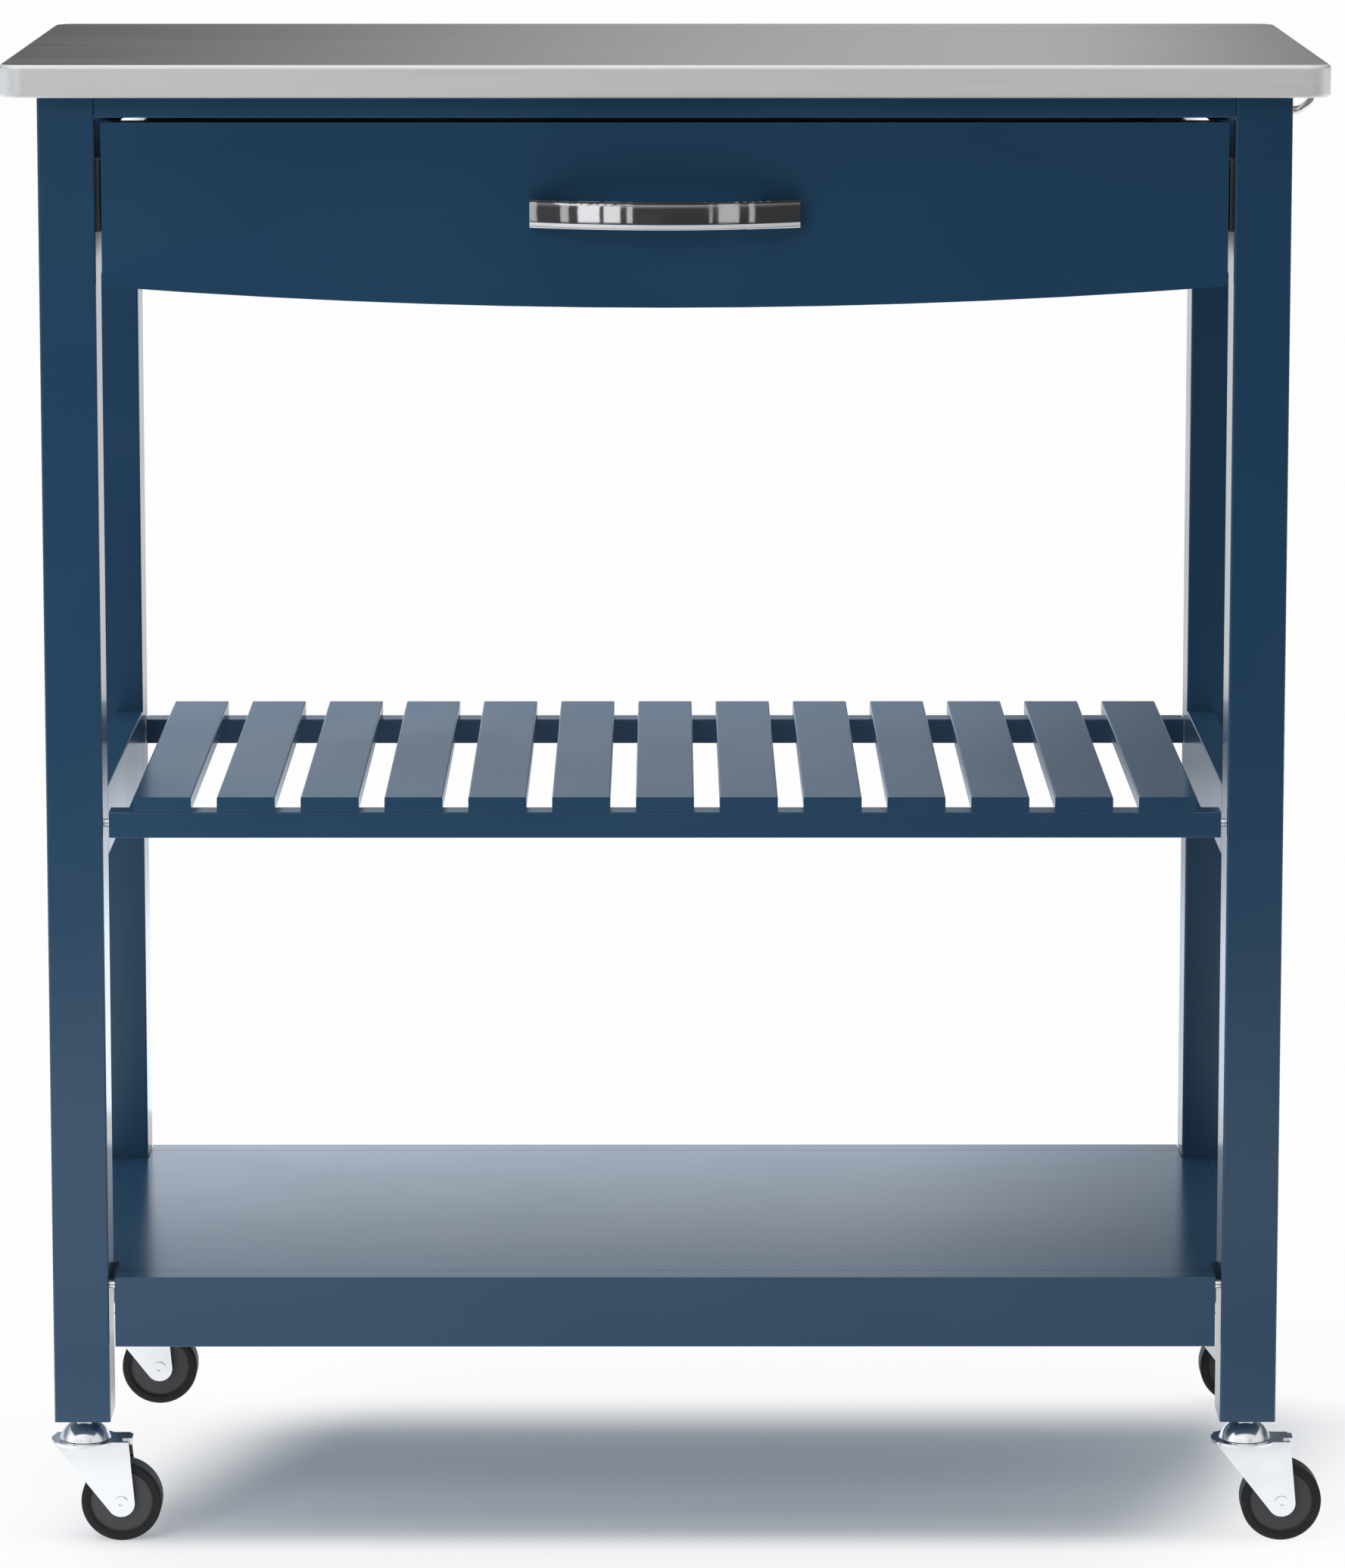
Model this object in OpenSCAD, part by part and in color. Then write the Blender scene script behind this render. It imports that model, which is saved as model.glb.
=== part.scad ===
// Kitchen island cart: steel-wrapped worktop, one drawer on ball-bearing slides,
// a slatted shelf, a solid shelf, a towel bar and four swivel casters.
// Origin on the floor under the middle of the worktop. Front faces -Y, +X is to the right.

/* [Worktop] */
// Width of the worktop
top_w = 800; // [640:1:900]
// Depth of the worktop, front to back
top_d = 400; // [340:1:480]
// Height of the worktop above the floor
top_z = 920; // [860:1:980]
// Height of the folded steel edge
skirt_h = 20; // [16:0.5:30]
// Thickness of the steel sheet
sheet_t = 1; // [0.8:0.1:1.5]
// Outside radius of the fold along the top edge
fold_r = 3; // [2:0.1:5]
// Outside radius of the fold along the lower edge
hem_r = 2.2; // [1.6:0.1:4]
// Corner radius of the worktop in plan
corner_r = 14; // [13:0.5:24]
// Width of the hem folded under the core
hem_w = 10; // [6:0.5:12]

/* [Frame] */
// Overhang of the worktop past the legs at each side
overhang_x = 22; // [16:0.5:30]
// Overhang of the worktop past the legs at front and rear
overhang_y = 17; // [14:0.5:26]
// Width of a leg, seen from the front
leg_w = 34.5; // [30:0.5:40]
// Depth of a leg, seen from the side
leg_d = 40; // [34:0.5:46]
// Rounding of the legs' long edges
leg_edge_r = 1.5; // [0.5:0.1:3]
// Thickness of every rail and apron
rail_t = 18; // [16:0.5:22]
// Rounding of the rails' long edges
rail_edge_r = 0.7; // [0.5:0.1:2]
// Height of the thin rail above the drawer
front_rail_h = 14; // [12:0.5:20]
// Height of the rear and side aprons
apron_h = 112; // [90:1:130]
// Gap between the legs and the drawer front, and beside the front rails
side_gap = 3.7; // [2:0.1:6]
// Gap between the rear legs and the shelves' rear rails and panel
rear_gap = 0.5; // [0.3:0.1:4]

/* [Slatted shelf] */
// Height of the slats' upper face above the floor
slat_top_z = 472; // [380:1:560]
// Number of slats
slat_count = 13; // [9:1:14]
// Width of a slat
slat_w = 35.5; // [25:0.5:40]
// Thickness of a slat
slat_t = 9.3; // [7:0.1:14]
// Rounding of the slats' long edges
slat_edge_r = 0.9; // [0.5:0.1:2.5]
// Space between the legs' inner faces and the outermost slats
slat_margin = 18.5; // [10:0.5:30]
// Height of the rails under the slats
slat_rail_h = 16; // [14:0.5:24]
// Height of the side rails beside the slats
slat_side_h = 43; // [34:0.5:60]

/* [Bottom shelf] */
// Height of the bottom shelf's upper face above the floor
shelf_top_z = 171; // [140:1:220]
// Height of the four rails around the bottom shelf
shelf_rail_h = 44; // [34:0.5:60]
// Thickness of the bottom shelf's panel
panel_t = 12; // [9:0.5:18]
// Thickness of the panel's tongue
tongue_t = 5; // [3:0.5:6]
// Length of the panel's tongue
tongue_l = 4; // [2:0.5:6]

/* [Drawer] */
// Height of the drawer front at its ends
front_end_h = 99; // [80:1:110]
// Drop of the drawer front's curved lower edge at its middle
front_bow = 13; // [6:0.5:20]
// Rounding of the drawer front's lower corners
front_corner_r = 3; // [1:0.5:5]
// Gap between the rail and the drawer front
top_gap = 2.8; // [1:0.1:5]
// Thickness of the drawer front
front_t = 18; // [15:0.5:22]
// Length of the drawer box behind the front
box_l = 300; // [220:1:305]
// Distance from the drawer front's upper edge down to the drawer box's
box_drop = 1.5; // [1:0.1:12]
// Height of the drawer box's lower edge above the side aprons' lower edge
box_lift = 6; // [2:0.5:12]
// Thickness of the drawer box's sides and back
box_t = 15; // [12:0.5:18]
// Thickness of the drawer's bottom board
bottom_t = 4; // [3:0.5:6]
// Depth of the grooves that hold the bottom board
groove_d = 5; // [3:0.5:7]
// Height of those grooves above the box's lower edge
groove_lift = 8; // [6:0.5:14]

/* [Drawer slides] */
// Height of a slide
slide_h = 45; // [38:0.5:52]
// Thickness of a slide, between apron and drawer
slide_t = 12.5; // [12:0.1:14]
// Length of a slide
slide_l = 295; // [200:1:300]
// Distance from the drawer front to the slides' front ends
slide_setback = 2; // [1:0.5:6]
// Sheet thickness of a slide member
slide_gauge = 1.2; // [1:0.1:1.5]
// Diameter of the slides' balls
ball_d = 3.2; // [3:0.1:3.6]
// Distance between the two faces that a row of balls runs between
ball_lane = 2.6; // [2.3:0.1:2.8]
// Balls in each row
ball_count = 6; // [4:1:8]
// Spacing of the balls
ball_pitch = 16; // [10:0.5:18]

/* [Pull] */
// Length of the pull
pull_l = 163; // [120:1:200]
// Height of the pull's band
pull_h = 17; // [12:0.5:24]
// Thickness of the pull's band
pull_t = 6; // [4:0.5:8]
// Rounding of the band's edges
pull_edge_r = 2.4; // [1:0.1:2.8]
// How far the pull's middle stands out from the drawer front
pull_out = 27; // [24:0.5:36]
// How far the pull's ends stand out from the drawer front
pull_end = 9; // [5:0.5:12]
// Height of the pull's middle above the drawer front's end corners
pull_lift = 44.5; // [30:0.5:60]
// Length of each foot of the pull
foot_l = 24; // [22:0.5:30]
// Distance between the pull's two screws
pull_span = 128; // [124:0.5:132]
// Depth of the screws in the pull's feet
pull_screw_seat = 7; // [4:0.5:8]

/* [Towel bar] */
// Diameter of the bar
bar_d = 5; // [5:0.5:9]
// How far the bar's middle stands out from the legs, to its centre
bar_out = 25; // [20:0.5:40]
// Radius of the bends at the bar's ends, to the bar's centre
bar_bend_r = 5; // [5:0.5:12]
// Distance from the legs' front and rear faces to the bar's ends
bar_inset = 15; // [12:0.5:25]
// Height of the bar's centre below the worktop's underside
bar_drop = 9.5; // [8:0.5:25]
// Depth of the bar's ends in the legs
bar_seat = 12; // [8:0.5:16]

/* [Casters] */
// Height from the floor to the bottom of the legs
caster_h = 79; // [76:0.5:90]
// Diameter of a wheel
wheel_d = 50; // [44:0.5:54]
// Width of a wheel's tread
wheel_w = 18; // [14:0.5:22]
// Horizontal distance from the swivel axis to the axle
trail = 22.5; // [18:0.5:26]
// Sheet thickness of the fork
fork_t = 2; // [1.5:0.1:3]
// Diameter of the fork's round top
fork_top_d = 42; // [36:0.5:46]
// Height of the fork's top above the axle
fork_rise = 39; // [36:0.5:44]
// Radius of the fork's rounded ends
fork_end_r = 8.6; // [7:0.1:10]
// Space between wheel and fork at each side
wheel_side_gap = 1.5; // [1:0.1:3]
// Diameter of the axle
axle_d = 6; // [5:0.5:8]
// Diameter of the pin that the fork turns on
king_d = 8; // [6:0.5:10]
// Diameter of the domed race over the fork
race_d = 32; // [28:0.5:36]
// Diameter of the stem in the leg
stem_d = 11; // [8:0.5:14]
// Length of the stem in the leg
stem_l = 38; // [25:1:50]

/* [Fasteners] */
// Diameter of the connector bolts
bolt_d = 5; // [4:0.5:7]
// Length of the connector bolts
bolt_l = 64; // [56:1:80]
// Diameter of the connector bolts' heads
bolt_head_d = 10; // [8:0.5:14]
// Height of the connector bolts' heads
bolt_head_h = 4; // [2:0.5:6]
// Wood left over the shelf rails' bolts
bolt_cover = 4; // [3:0.5:8]
// Distance from the aprons' upper and lower edges to their bolts and dowels
joint_inset = 28; // [20:1:34]
// Diameter of the dowels
dowel_d = 8; // [6:0.5:10]
// Length of the dowels
dowel_l = 30; // [24:1:36]
// Length of the drawer's dowels
box_dowel_l = 20; // [14:1:24]
// Shank diameter of the slat screws
screw_d = 3.5; // [3:0.1:4.5]
// Depth of the slat screws in the slats
screw_bite = 6; // [4:0.5:6.5]
// Shank diameter of the pull's screws
pull_screw_d = 4; // [3:0.1:5]

/* [Hidden] */
$fn = 64;
SIDES = ["left", "right"];
CORNERS = ["front_left", "front_right", "rear_left", "rear_right"];
SLATS = [for (i = [1:slat_count]) str("slat_", i < 10 ? "0" : "", i)];

// Clearances: a turning fit, a pushed-in fit, and two faces that pass each other
run_fit = 0.05;
push_fit = 0.05;
pass_gap = 0.3;

// Colours
navy = [0.13, 0.25, 0.35];
steel = [0.72, 0.73, 0.74];
chrome = [0.85, 0.86, 0.88];
zinc = [0.82, 0.83, 0.85];
board = [0.76, 0.62, 0.44];
white_board = [0.9, 0.9, 0.88];
black = [0.08, 0.08, 0.09];

// Frame planes
half_w = top_w / 2 - overhang_x;
half_d = top_d / 2 - overhang_y;
inner_x = half_w - leg_w;
inner_y = half_d - leg_d;
hang_x = inner_x - side_gap;
rear_hang_x = inner_x - rear_gap;
core_z = top_z - skirt_h + sheet_t;
leg_x = half_w - leg_w / 2;
leg_y = half_d - leg_d / 2;
rail_y = half_d - rail_t / 2;

// Slatted shelf
slat_z = slat_top_z - slat_t;
slat_rail_z = slat_z - slat_rail_h;
slat_end_x = inner_x - slat_margin - slat_w / 2;
slat_pitch = 2 * slat_end_x / (slat_count - 1);

// Bottom shelf
shelf_rail_z = shelf_top_z - shelf_rail_h;
panel_z = shelf_top_z - panel_t;
tongue_z = panel_z + (panel_t - tongue_t) / 2;
shelf_side_x = half_w - rail_t;

// Drawer
apron_z = core_z - apron_h;
front_rail_z = core_z - front_rail_h;
front_top_z = front_rail_z - top_gap;
front_end_z = front_top_z - front_end_h;
front_back_y = -half_d + front_t;
box_x = inner_x - slide_t;
box_z = apron_z + box_lift;
box_h = front_top_z - box_drop - box_z;
box_rear_y = front_back_y + box_l;
groove_z = box_z + groove_lift;
bow_r = (hang_x * hang_x + front_bow * front_bow) / (2 * front_bow);
bow_z = front_end_z - front_bow + bow_r;
slide_z = box_z + box_h / 2;

// Casters
wheel_r = wheel_d / 2;
fork_top_z = wheel_r + fork_rise;
fork_gap = wheel_w + 2 * wheel_side_gap;
fork_w = fork_gap + 2 * fork_t;

// Fasteners
bolt_r = bolt_d / 2;
dowel_r = dowel_d / 2;
shelf_bolt_z = shelf_top_z - bolt_d / 2 - bolt_cover;
slat_bolt_z = slat_rail_z + slat_rail_h / 2;
apron_joint_z = [apron_z + joint_inset, core_z - joint_inset];

// ---- Shared shapes ----

// A rectangle with round corners, centred.
module round_rect(size, r) {
    square([size[0] - 2 * r, size[1]], center = true);
    square([size[0], size[1] - 2 * r], center = true);
    for (x = [-1, 1], y = [-1, 1])
        translate([x * (size[0] / 2 - r), y * (size[1] / 2 - r)]) circle(r, $fn = 32);
}

// Boards that run along X, Y or Z, given by their lowest corner and size.
module board_x(at, size, r) {
    translate([at[0], at[1] + size[1] / 2, at[2] + size[2] / 2])
        rotate([90, 0, 90]) linear_extrude(size[0]) round_rect([size[1], size[2]], r);
}

module board_y(at, size, r) {
    translate([at[0] + size[0] / 2, at[1] + size[1], at[2] + size[2] / 2])
        rotate([90, 0, 0]) linear_extrude(size[1]) round_rect([size[0], size[2]], r);
}

module board_z(at, size, r) {
    translate([at[0] + size[0] / 2, at[1] + size[1] / 2, at[2]])
        linear_extrude(size[2]) round_rect([size[0], size[1]], r);
}

// A cylinder along +X or +Y from a point.
module rod_x(at, r, l) {
    translate(at) rotate([0, 90, 0]) cylinder(r = r, h = l);
}

module rod_y(at, r, l) {
    translate(at) rotate([-90, 0, 0]) cylinder(r = r, h = l);
}

// The child on the right is repeated mirrored on the left.
module both_sides() {
    children();
    mirror([1, 0, 0]) children();
}

// Mirrors what is drawn for the right-hand side, for a name that ends in _left.
module on_side(side) {
    if (side == "left") mirror([1, 0, 0]) children();
    else children();
}

// ---- Worktop ----

// A section extruded along +Y, its own x and y lying along X and Z.
module strip(l) {
    rotate([90, 0, 0]) translate([0, 0, -l]) linear_extrude(l) children();
}

// Sweeps a section round the worktop's edge. The section's x = corner_r is the outer face.
module edge_sweep() {
    cx = top_w / 2 - corner_r;
    cy = top_d / 2 - corner_r;
    for (turn = [0:3]) {
        sx = turn == 0 || turn == 3 ? 1 : -1;
        sy = turn < 2 ? 1 : -1;
        translate([sx * cx, sy * cy, 0]) rotate([0, 0, 90 * turn])
            rotate_extrude(angle = 90, $fn = 96) children();
    }
    translate([cx, -cy, 0]) strip(2 * cy) children();
    translate([cx, cy, 0]) rotate([0, 0, 90]) strip(2 * cx) children();
    translate([-cx, cy, 0]) rotate([0, 0, 180]) strip(2 * cy) children();
    translate([-cx, -cy, 0]) rotate([0, 0, 270]) strip(2 * cx) children();
}

// A quarter of the sheet's bend, in x > 0 and on the given side of y = 0.
module quarter_ring(r, side) {
    difference() {
        intersection() {
            circle(r);
            translate([0, side < 0 ? -r : 0]) square(r);
        }
        circle(r - sheet_t);
    }
}

// The sheet's section: flat top, fold, skirt and hem.
module sheet_section() {
    skirt_z = top_z - skirt_h;
    translate([0, top_z - sheet_t]) square([corner_r - fold_r, sheet_t]);
    translate([corner_r - fold_r, top_z - fold_r]) quarter_ring(fold_r, 1);
    translate([corner_r - sheet_t, skirt_z + hem_r]) square([sheet_t, skirt_h - fold_r - hem_r]);
    translate([corner_r - hem_r, skirt_z + hem_r]) quarter_ring(hem_r, -1);
    translate([corner_r - hem_w, skirt_z]) square([hem_w - hem_r, sheet_t]);
}

// The core's section inside the sheet, with the same folds.
module core_section() {
    high_r = fold_r - sheet_t;
    low_r = hem_r - sheet_t;
    edge_x = corner_r - sheet_t;
    core_h = skirt_h - 2 * sheet_t;
    translate([0, core_z + low_r]) square([edge_x - high_r, core_h - low_r]);
    translate([0, core_z]) square([edge_x - low_r, core_h - high_r]);
    translate([0, core_z + low_r]) square([edge_x, core_h - low_r - high_r]);
    translate([edge_x - high_r, top_z - fold_r]) circle(high_r);
    translate([edge_x - low_r, core_z + low_r]) circle(low_r);
}

module top_sheet() {
    color(steel) {
        edge_sweep() sheet_section();
        translate([-top_w / 2 + corner_r, -top_d / 2 + corner_r, top_z - sheet_t])
            cube([top_w - 2 * corner_r, top_d - 2 * corner_r, sheet_t]);
    }
}

module top_core() {
    color(board) {
        edge_sweep() core_section();
        translate([-top_w / 2 + corner_r, -top_d / 2 + corner_r, core_z])
            cube([top_w - 2 * corner_r, top_d - 2 * corner_r, skirt_h - 2 * sheet_t]);
    }
}

// ---- Holes and fasteners of the frame ----

// Connector bolts of one leg: [y, z] of each. end is -1 at the front, 1 at the rear.
function bolt_points(end) = concat(
    [[end * rail_y, slat_bolt_z], [end * rail_y, shelf_bolt_z]],
    end < 0 ? [] : [for (z = apron_joint_z) [rail_y, z]]);

// Dowels between the right-hand legs and what runs front to back: [x, z] of each.
function dowel_points() = concat(
    [for (z = apron_joint_z) [inner_x + rail_t / 2, z]],
    [for (k = [0.25, 0.75]) [inner_x + rail_t / 2, slat_top_z - k * slat_side_h]],
    [for (k = [0.25, 0.75]) [half_w - rail_t / 2, shelf_top_z - k * shelf_rail_h]]);

// A bolt through the right-hand leg, its head in the leg's outer face.
module connector_bolt(p) {
    difference() {
        union() {
            rod_x([half_w - bolt_head_h, p[0], p[1]], bolt_head_d / 2, bolt_head_h - 0.5);
            rod_x([half_w - bolt_l, p[0], p[1]], bolt_d / 2, bolt_l - bolt_head_h);
        }
        translate([half_w - bolt_head_h + 0.8, p[0], p[1]]) rotate([0, 90, 0])
            cylinder(d = bolt_head_d / 2, h = bolt_head_h, $fn = 6);
    }
}

module connector_hole(p) {
    rod_x([half_w - bolt_head_h, p[0], p[1]], bolt_head_d / 2 + push_fit, bolt_head_h + 1);
    rod_x([half_w - bolt_l - pass_gap, p[0], p[1]], bolt_d / 2 + push_fit, bolt_l);
}

// A dowel across the face between a right-hand leg and a piece that runs front to back.
module side_dowel(p, end, fit = 0) {
    l = dowel_l + 2 * fit;
    rod_y([p[0], end * inner_y - l / 2, p[1]], dowel_d / 2 + fit, l);
}

// The dowel that joins the thin front rail to the right-hand leg.
module front_dowel(fit = 0) {
    l = dowel_l + 2 * fit;
    rod_x([inner_x - l / 2, -rail_y, front_rail_z + front_rail_h / 2], dowel_d / 2 + fit, l);
}

module connector_bolts() {
    color(zinc) both_sides() for (end = [-1, 1], p = bolt_points(end)) connector_bolt(p);
}

module frame_dowels() {
    color(board) both_sides() {
        for (end = [-1, 1], p = dowel_points()) side_dowel(p, end);
        front_dowel();
    }
}

// ---- Legs, rails and aprons ----

module leg(side, end) {
    front_y = end < 0 ? -half_d : inner_y;
    color(navy) on_side(side) difference() {
        board_z([inner_x, front_y, caster_h], [leg_w, leg_d, core_z - caster_h], leg_edge_r);
        for (p = bolt_points(end)) connector_hole(p);
        for (p = dowel_points()) side_dowel(p, end, push_fit);
        if (end < 0) front_dowel(push_fit);
        translate([leg_x, end * leg_y, caster_h - 1]) cylinder(d = stem_d + 2 * push_fit, h = stem_l + 1.5);
        if (side == "right") bar_hole(end);
    }
}

module top_rail_front() {
    color(navy) difference() {
        board_x([-inner_x, -half_d, front_rail_z], [2 * inner_x, rail_t, front_rail_h], rail_edge_r);
        both_sides() front_dowel(push_fit);
    }
}

module apron_rear() {
    color(navy) difference() {
        board_x([-inner_x, half_d - rail_t, apron_z], [2 * inner_x, rail_t, apron_h], rail_edge_r);
        both_sides() for (p = bolt_points(1)) connector_hole(p);
    }
}

// A board between the two legs of one side, doweled to both.
module side_board(side, x, z, h) {
    color(navy) on_side(side) difference() {
        board_y([x, -inner_y, z], [rail_t, 2 * inner_y, h], rail_edge_r);
        for (end = [-1, 1], p = dowel_points()) side_dowel(p, end, push_fit);
        children();
    }
}

module apron_side(side) {
    side_board(side, inner_x, apron_z, apron_h);
}

// ---- Slatted shelf ----

function slat_x(i) = (i - 1) * slat_pitch - slat_end_x;

module slat(i) {
    color(navy) difference() {
        board_y([slat_x(i) - slat_w / 2, -half_d, slat_z], [slat_w, 2 * half_d, slat_t], slat_edge_r);
        for (end = [-1, 1]) slat_screw_hole(i, end);
    }
}

module slat_rail(end) {
    x = end < 0 ? hang_x : rear_hang_x;
    y = end < 0 ? -half_d : half_d - rail_t;
    color(navy) difference() {
        board_x([-x, y, slat_rail_z], [2 * x, rail_t, slat_rail_h], rail_edge_r);
        both_sides() for (p = bolt_points(end)) connector_hole(p);
        for (i = [1:slat_count]) slat_screw_hole(i, end);
    }
}

module slat_side_rail(side) {
    side_board(side, inner_x, slat_top_z - slat_side_h, slat_side_h);
}

// A countersunk screw, from below through the rail into a slat.
module slat_screw(i, end) {
    translate([slat_x(i), end * rail_y, slat_rail_z]) {
        cylinder(d1 = 2 * screw_d, d2 = screw_d, h = screw_d / 2);
        cylinder(d = screw_d, h = slat_rail_h + screw_bite);
    }
}

module slat_screw_hole(i, end) {
    d = screw_d + 2 * push_fit;
    translate([slat_x(i), end * rail_y, slat_rail_z]) {
        cylinder(d1 = 2 * screw_d, d2 = screw_d, h = screw_d / 2);
        translate([0, 0, -1]) cylinder(d = d, h = slat_rail_h + screw_bite + 1.2);
    }
}

module slat_screws() {
    color(zinc) for (i = [1:slat_count], end = [-1, 1]) slat_screw(i, end);
}

// ---- Bottom shelf ----

// The groove that the panel's tongue sits in, all round the shelf.
module tongue_groove() {
    reach = tongue_l + pass_gap;
    h = tongue_t + 2 * push_fit;
    translate([-half_w, -half_d + rail_t - reach, tongue_z - push_fit])
        cube([2 * half_w, 2 * (half_d - rail_t + reach), h]);
}

module side_groove() {
    reach = tongue_l + pass_gap;
    translate([0, -half_d, tongue_z - push_fit])
        cube([shelf_side_x + reach, 2 * half_d, tongue_t + 2 * push_fit]);
}

module shelf_rail(end) {
    x = end < 0 ? hang_x : rear_hang_x;
    y = end < 0 ? -half_d : half_d - rail_t;
    color(navy) difference() {
        board_x([-x, y, shelf_rail_z], [2 * x, rail_t, shelf_rail_h], rail_edge_r);
        tongue_groove();
        both_sides() for (p = bolt_points(end)) connector_hole(p);
    }
}

module shelf_side_rail(side) {
    side_board(side, shelf_side_x, shelf_rail_z, shelf_rail_h) side_groove();
}

// One layer of the panel: notched round the legs, and grown by its tongue.
module panel_layer(z, t, grow) {
    y = half_d - rail_t + grow;
    notch_y = inner_y - pass_gap;
    x = shelf_side_x + grow;
    translate([-hang_x, -y, z]) cube([2 * hang_x, y, t]);
    translate([-rear_hang_x, 0, z]) cube([2 * rear_hang_x, y, t]);
    translate([-x, -notch_y, z]) cube([2 * x, 2 * notch_y, t]);
}

module bottom_panel() {
    color(navy) {
        panel_layer(panel_z, panel_t, 0);
        panel_layer(tongue_z, tongue_t, tongue_l);
    }
}

// ---- Drawer ----

// The drawer front seen from the front, its lower edge bowed down to the middle.
module front_outline() {
    c = front_corner_r;
    cx = hang_x - c;
    cz = bow_z - sqrt(pow(bow_r - c, 2) - cx * cx);
    intersection() {
        union() {
            translate([-cx, front_end_z - front_bow - 1]) square([2 * cx, front_end_h + front_bow + 1]);
            translate([-hang_x, cz]) square([2 * hang_x, front_top_z - cz]);
            for (s = [-1, 1]) translate([s * cx, cz]) circle(c);
        }
        translate([0, bow_z]) circle(bow_r, $fn = 1440);
    }
}

module drawer_front() {
    color(navy) difference() {
        translate([0, -half_d, 0]) strip(front_t) front_outline();
        both_sides() {
            for (z = box_joint_z) front_joint(z, push_fit);
            pull_screw_hole();
        }
        bottom_slot();
    }
}

// The drawer's bottom board fills this slot in the front and the sides.
module bottom_slot() {
    x = box_x - box_t + groove_d;
    translate([-x, front_back_y - groove_d, groove_z])
        cube([2 * x, box_l + groove_d + 1, bottom_t + 2 * push_fit]);
}

box_joint_z = [box_z + 0.36 * box_h, box_z + 0.8 * box_h];

// The dowels of the right-hand drawer side, to the front and to the back.
module front_joint(z, fit = 0) {
    l = box_dowel_l + 2 * fit;
    rod_y([box_x - box_t / 2, front_back_y - l / 2, z], dowel_d / 2 + fit, l);
}

module back_joint(z, fit = 0) {
    l = box_dowel_l + 2 * fit;
    rod_x([box_x - box_t - l / 2, box_rear_y - box_t / 2, z], dowel_d / 2 + fit, l);
}

module drawer_side(side) {
    color(white_board) on_side(side) difference() {
        board_y([box_x - box_t, front_back_y, box_z], [box_t, box_l, box_h], 1);
        for (z = box_joint_z) {
            front_joint(z, push_fit);
            back_joint(z, push_fit);
        }
        bottom_slot();
    }
}

module drawer_back() {
    z = groove_z + bottom_t;
    w = box_x - box_t;
    color(white_board) difference() {
        translate([-w, box_rear_y - box_t, z]) cube([2 * w, box_t, box_z + box_h - z]);
        both_sides() for (z = box_joint_z) back_joint(z, push_fit);
    }
}

module drawer_bottom() {
    x = box_x - box_t + groove_d - pass_gap;
    y = front_back_y - groove_d + pass_gap;
    color(white_board) translate([-x, y, groove_z]) cube([2 * x, box_rear_y - y, bottom_t]);
}

module drawer_dowels() {
    color(board) both_sides() for (z = box_joint_z) {
        front_joint(z);
        back_joint(z);
    }
}

// ---- Pull ----

pull_z = front_end_z + pull_lift;
pull_bow = pull_out - pull_end;
pull_r = (pow(pull_l / 2, 2) + pull_bow * pull_bow) / (2 * pull_bow);
pull_cy = -half_d - pull_out + pull_r;

// Everything in front of the drawer front, over the pull's height.
module before_front(x0, x1) {
    translate([x0, -half_d - 2 * pull_out, pull_z - pull_h / 2])
        cube([x1 - x0, 2 * pull_out, pull_h]);
}

module drawer_pull() {
    foot_x = pull_l / 2 - foot_l;
    color(chrome) difference() {
        union() {
            intersection() {
                translate([0, pull_cy, pull_z]) rotate_extrude($fn = 360)
                    translate([pull_r - pull_t / 2, 0]) round_rect([pull_t, pull_h], pull_edge_r);
                before_front(-pull_l / 2, pull_l / 2);
            }
            both_sides() intersection() {
                translate([0, pull_cy, pull_z - pull_h / 2 + 1])
                    cylinder(r = pull_r - pull_t / 2, h = pull_h - 2, $fn = 360);
                before_front(foot_x, pull_l / 2);
            }
        }
        both_sides() pull_screw_hole();
    }
}

module pull_screw_hole() {
    rod_y([pull_span / 2, -half_d - pull_screw_seat - pass_gap, pull_z],
        pull_screw_d / 2 + push_fit, front_t + pull_screw_seat + 1);
}

module pull_screws() {
    color(zinc) both_sides() {
        rod_y([pull_span / 2, -half_d - pull_screw_seat, pull_z], pull_screw_d / 2, front_t + pull_screw_seat);
        rod_y([pull_span / 2, front_back_y, pull_z], pull_screw_d, pull_screw_d / 2);
    }
}

// ---- Drawer slides ----

// Sections are drawn with x = 0 on the apron and x = slide_t on the drawer side.
ball_r = ball_d / 2;
outer_lane = slide_h / 2 - slide_gauge - ball_lane / 2;
middle_edge = outer_lane - ball_lane / 2;
inner_lane = middle_edge - slide_gauge - ball_lane / 2;
inner_edge = inner_lane - ball_lane / 2;
web_gap = 0.8;
middle_web = slide_gauge + web_gap;
outer_lane_x = middle_web + slide_gauge + ball_r + web_gap;
inner_lane_x = outer_lane_x + ball_r / 2;

// The points of a section's upper half, joined to their mirror image below.
function mirrored(half) = concat(half, [for (i = [len(half) - 1:-1:0]) [half[i][0], -half[i][1]]]);

// A channel with its back at x = back, flanges that reach to x = tip, and the given half height.
function channel(back, tip, edge) = let (web = back + sign(tip - back) * slide_gauge) mirrored(
    [[web, edge - slide_gauge], [tip, edge - slide_gauge], [tip, edge], [back, edge]]);

module ball_tracks(x, lane) {
    for (s = [-1, 1]) translate([x, s * lane]) circle(ball_r + run_fit);
}

// The outer member also has lips that keep the balls in.
module outer_section() {
    edge = slide_h / 2;
    inside = edge - slide_gauge;
    tip = slide_t - slide_gauge - web_gap;
    difference() {
        polygon(mirrored([[slide_gauge, inside], [tip - slide_gauge, inside],
            [tip - slide_gauge, outer_lane], [tip, outer_lane], [tip, edge], [0, edge]]));
        ball_tracks(outer_lane_x, outer_lane);
    }
}

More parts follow.
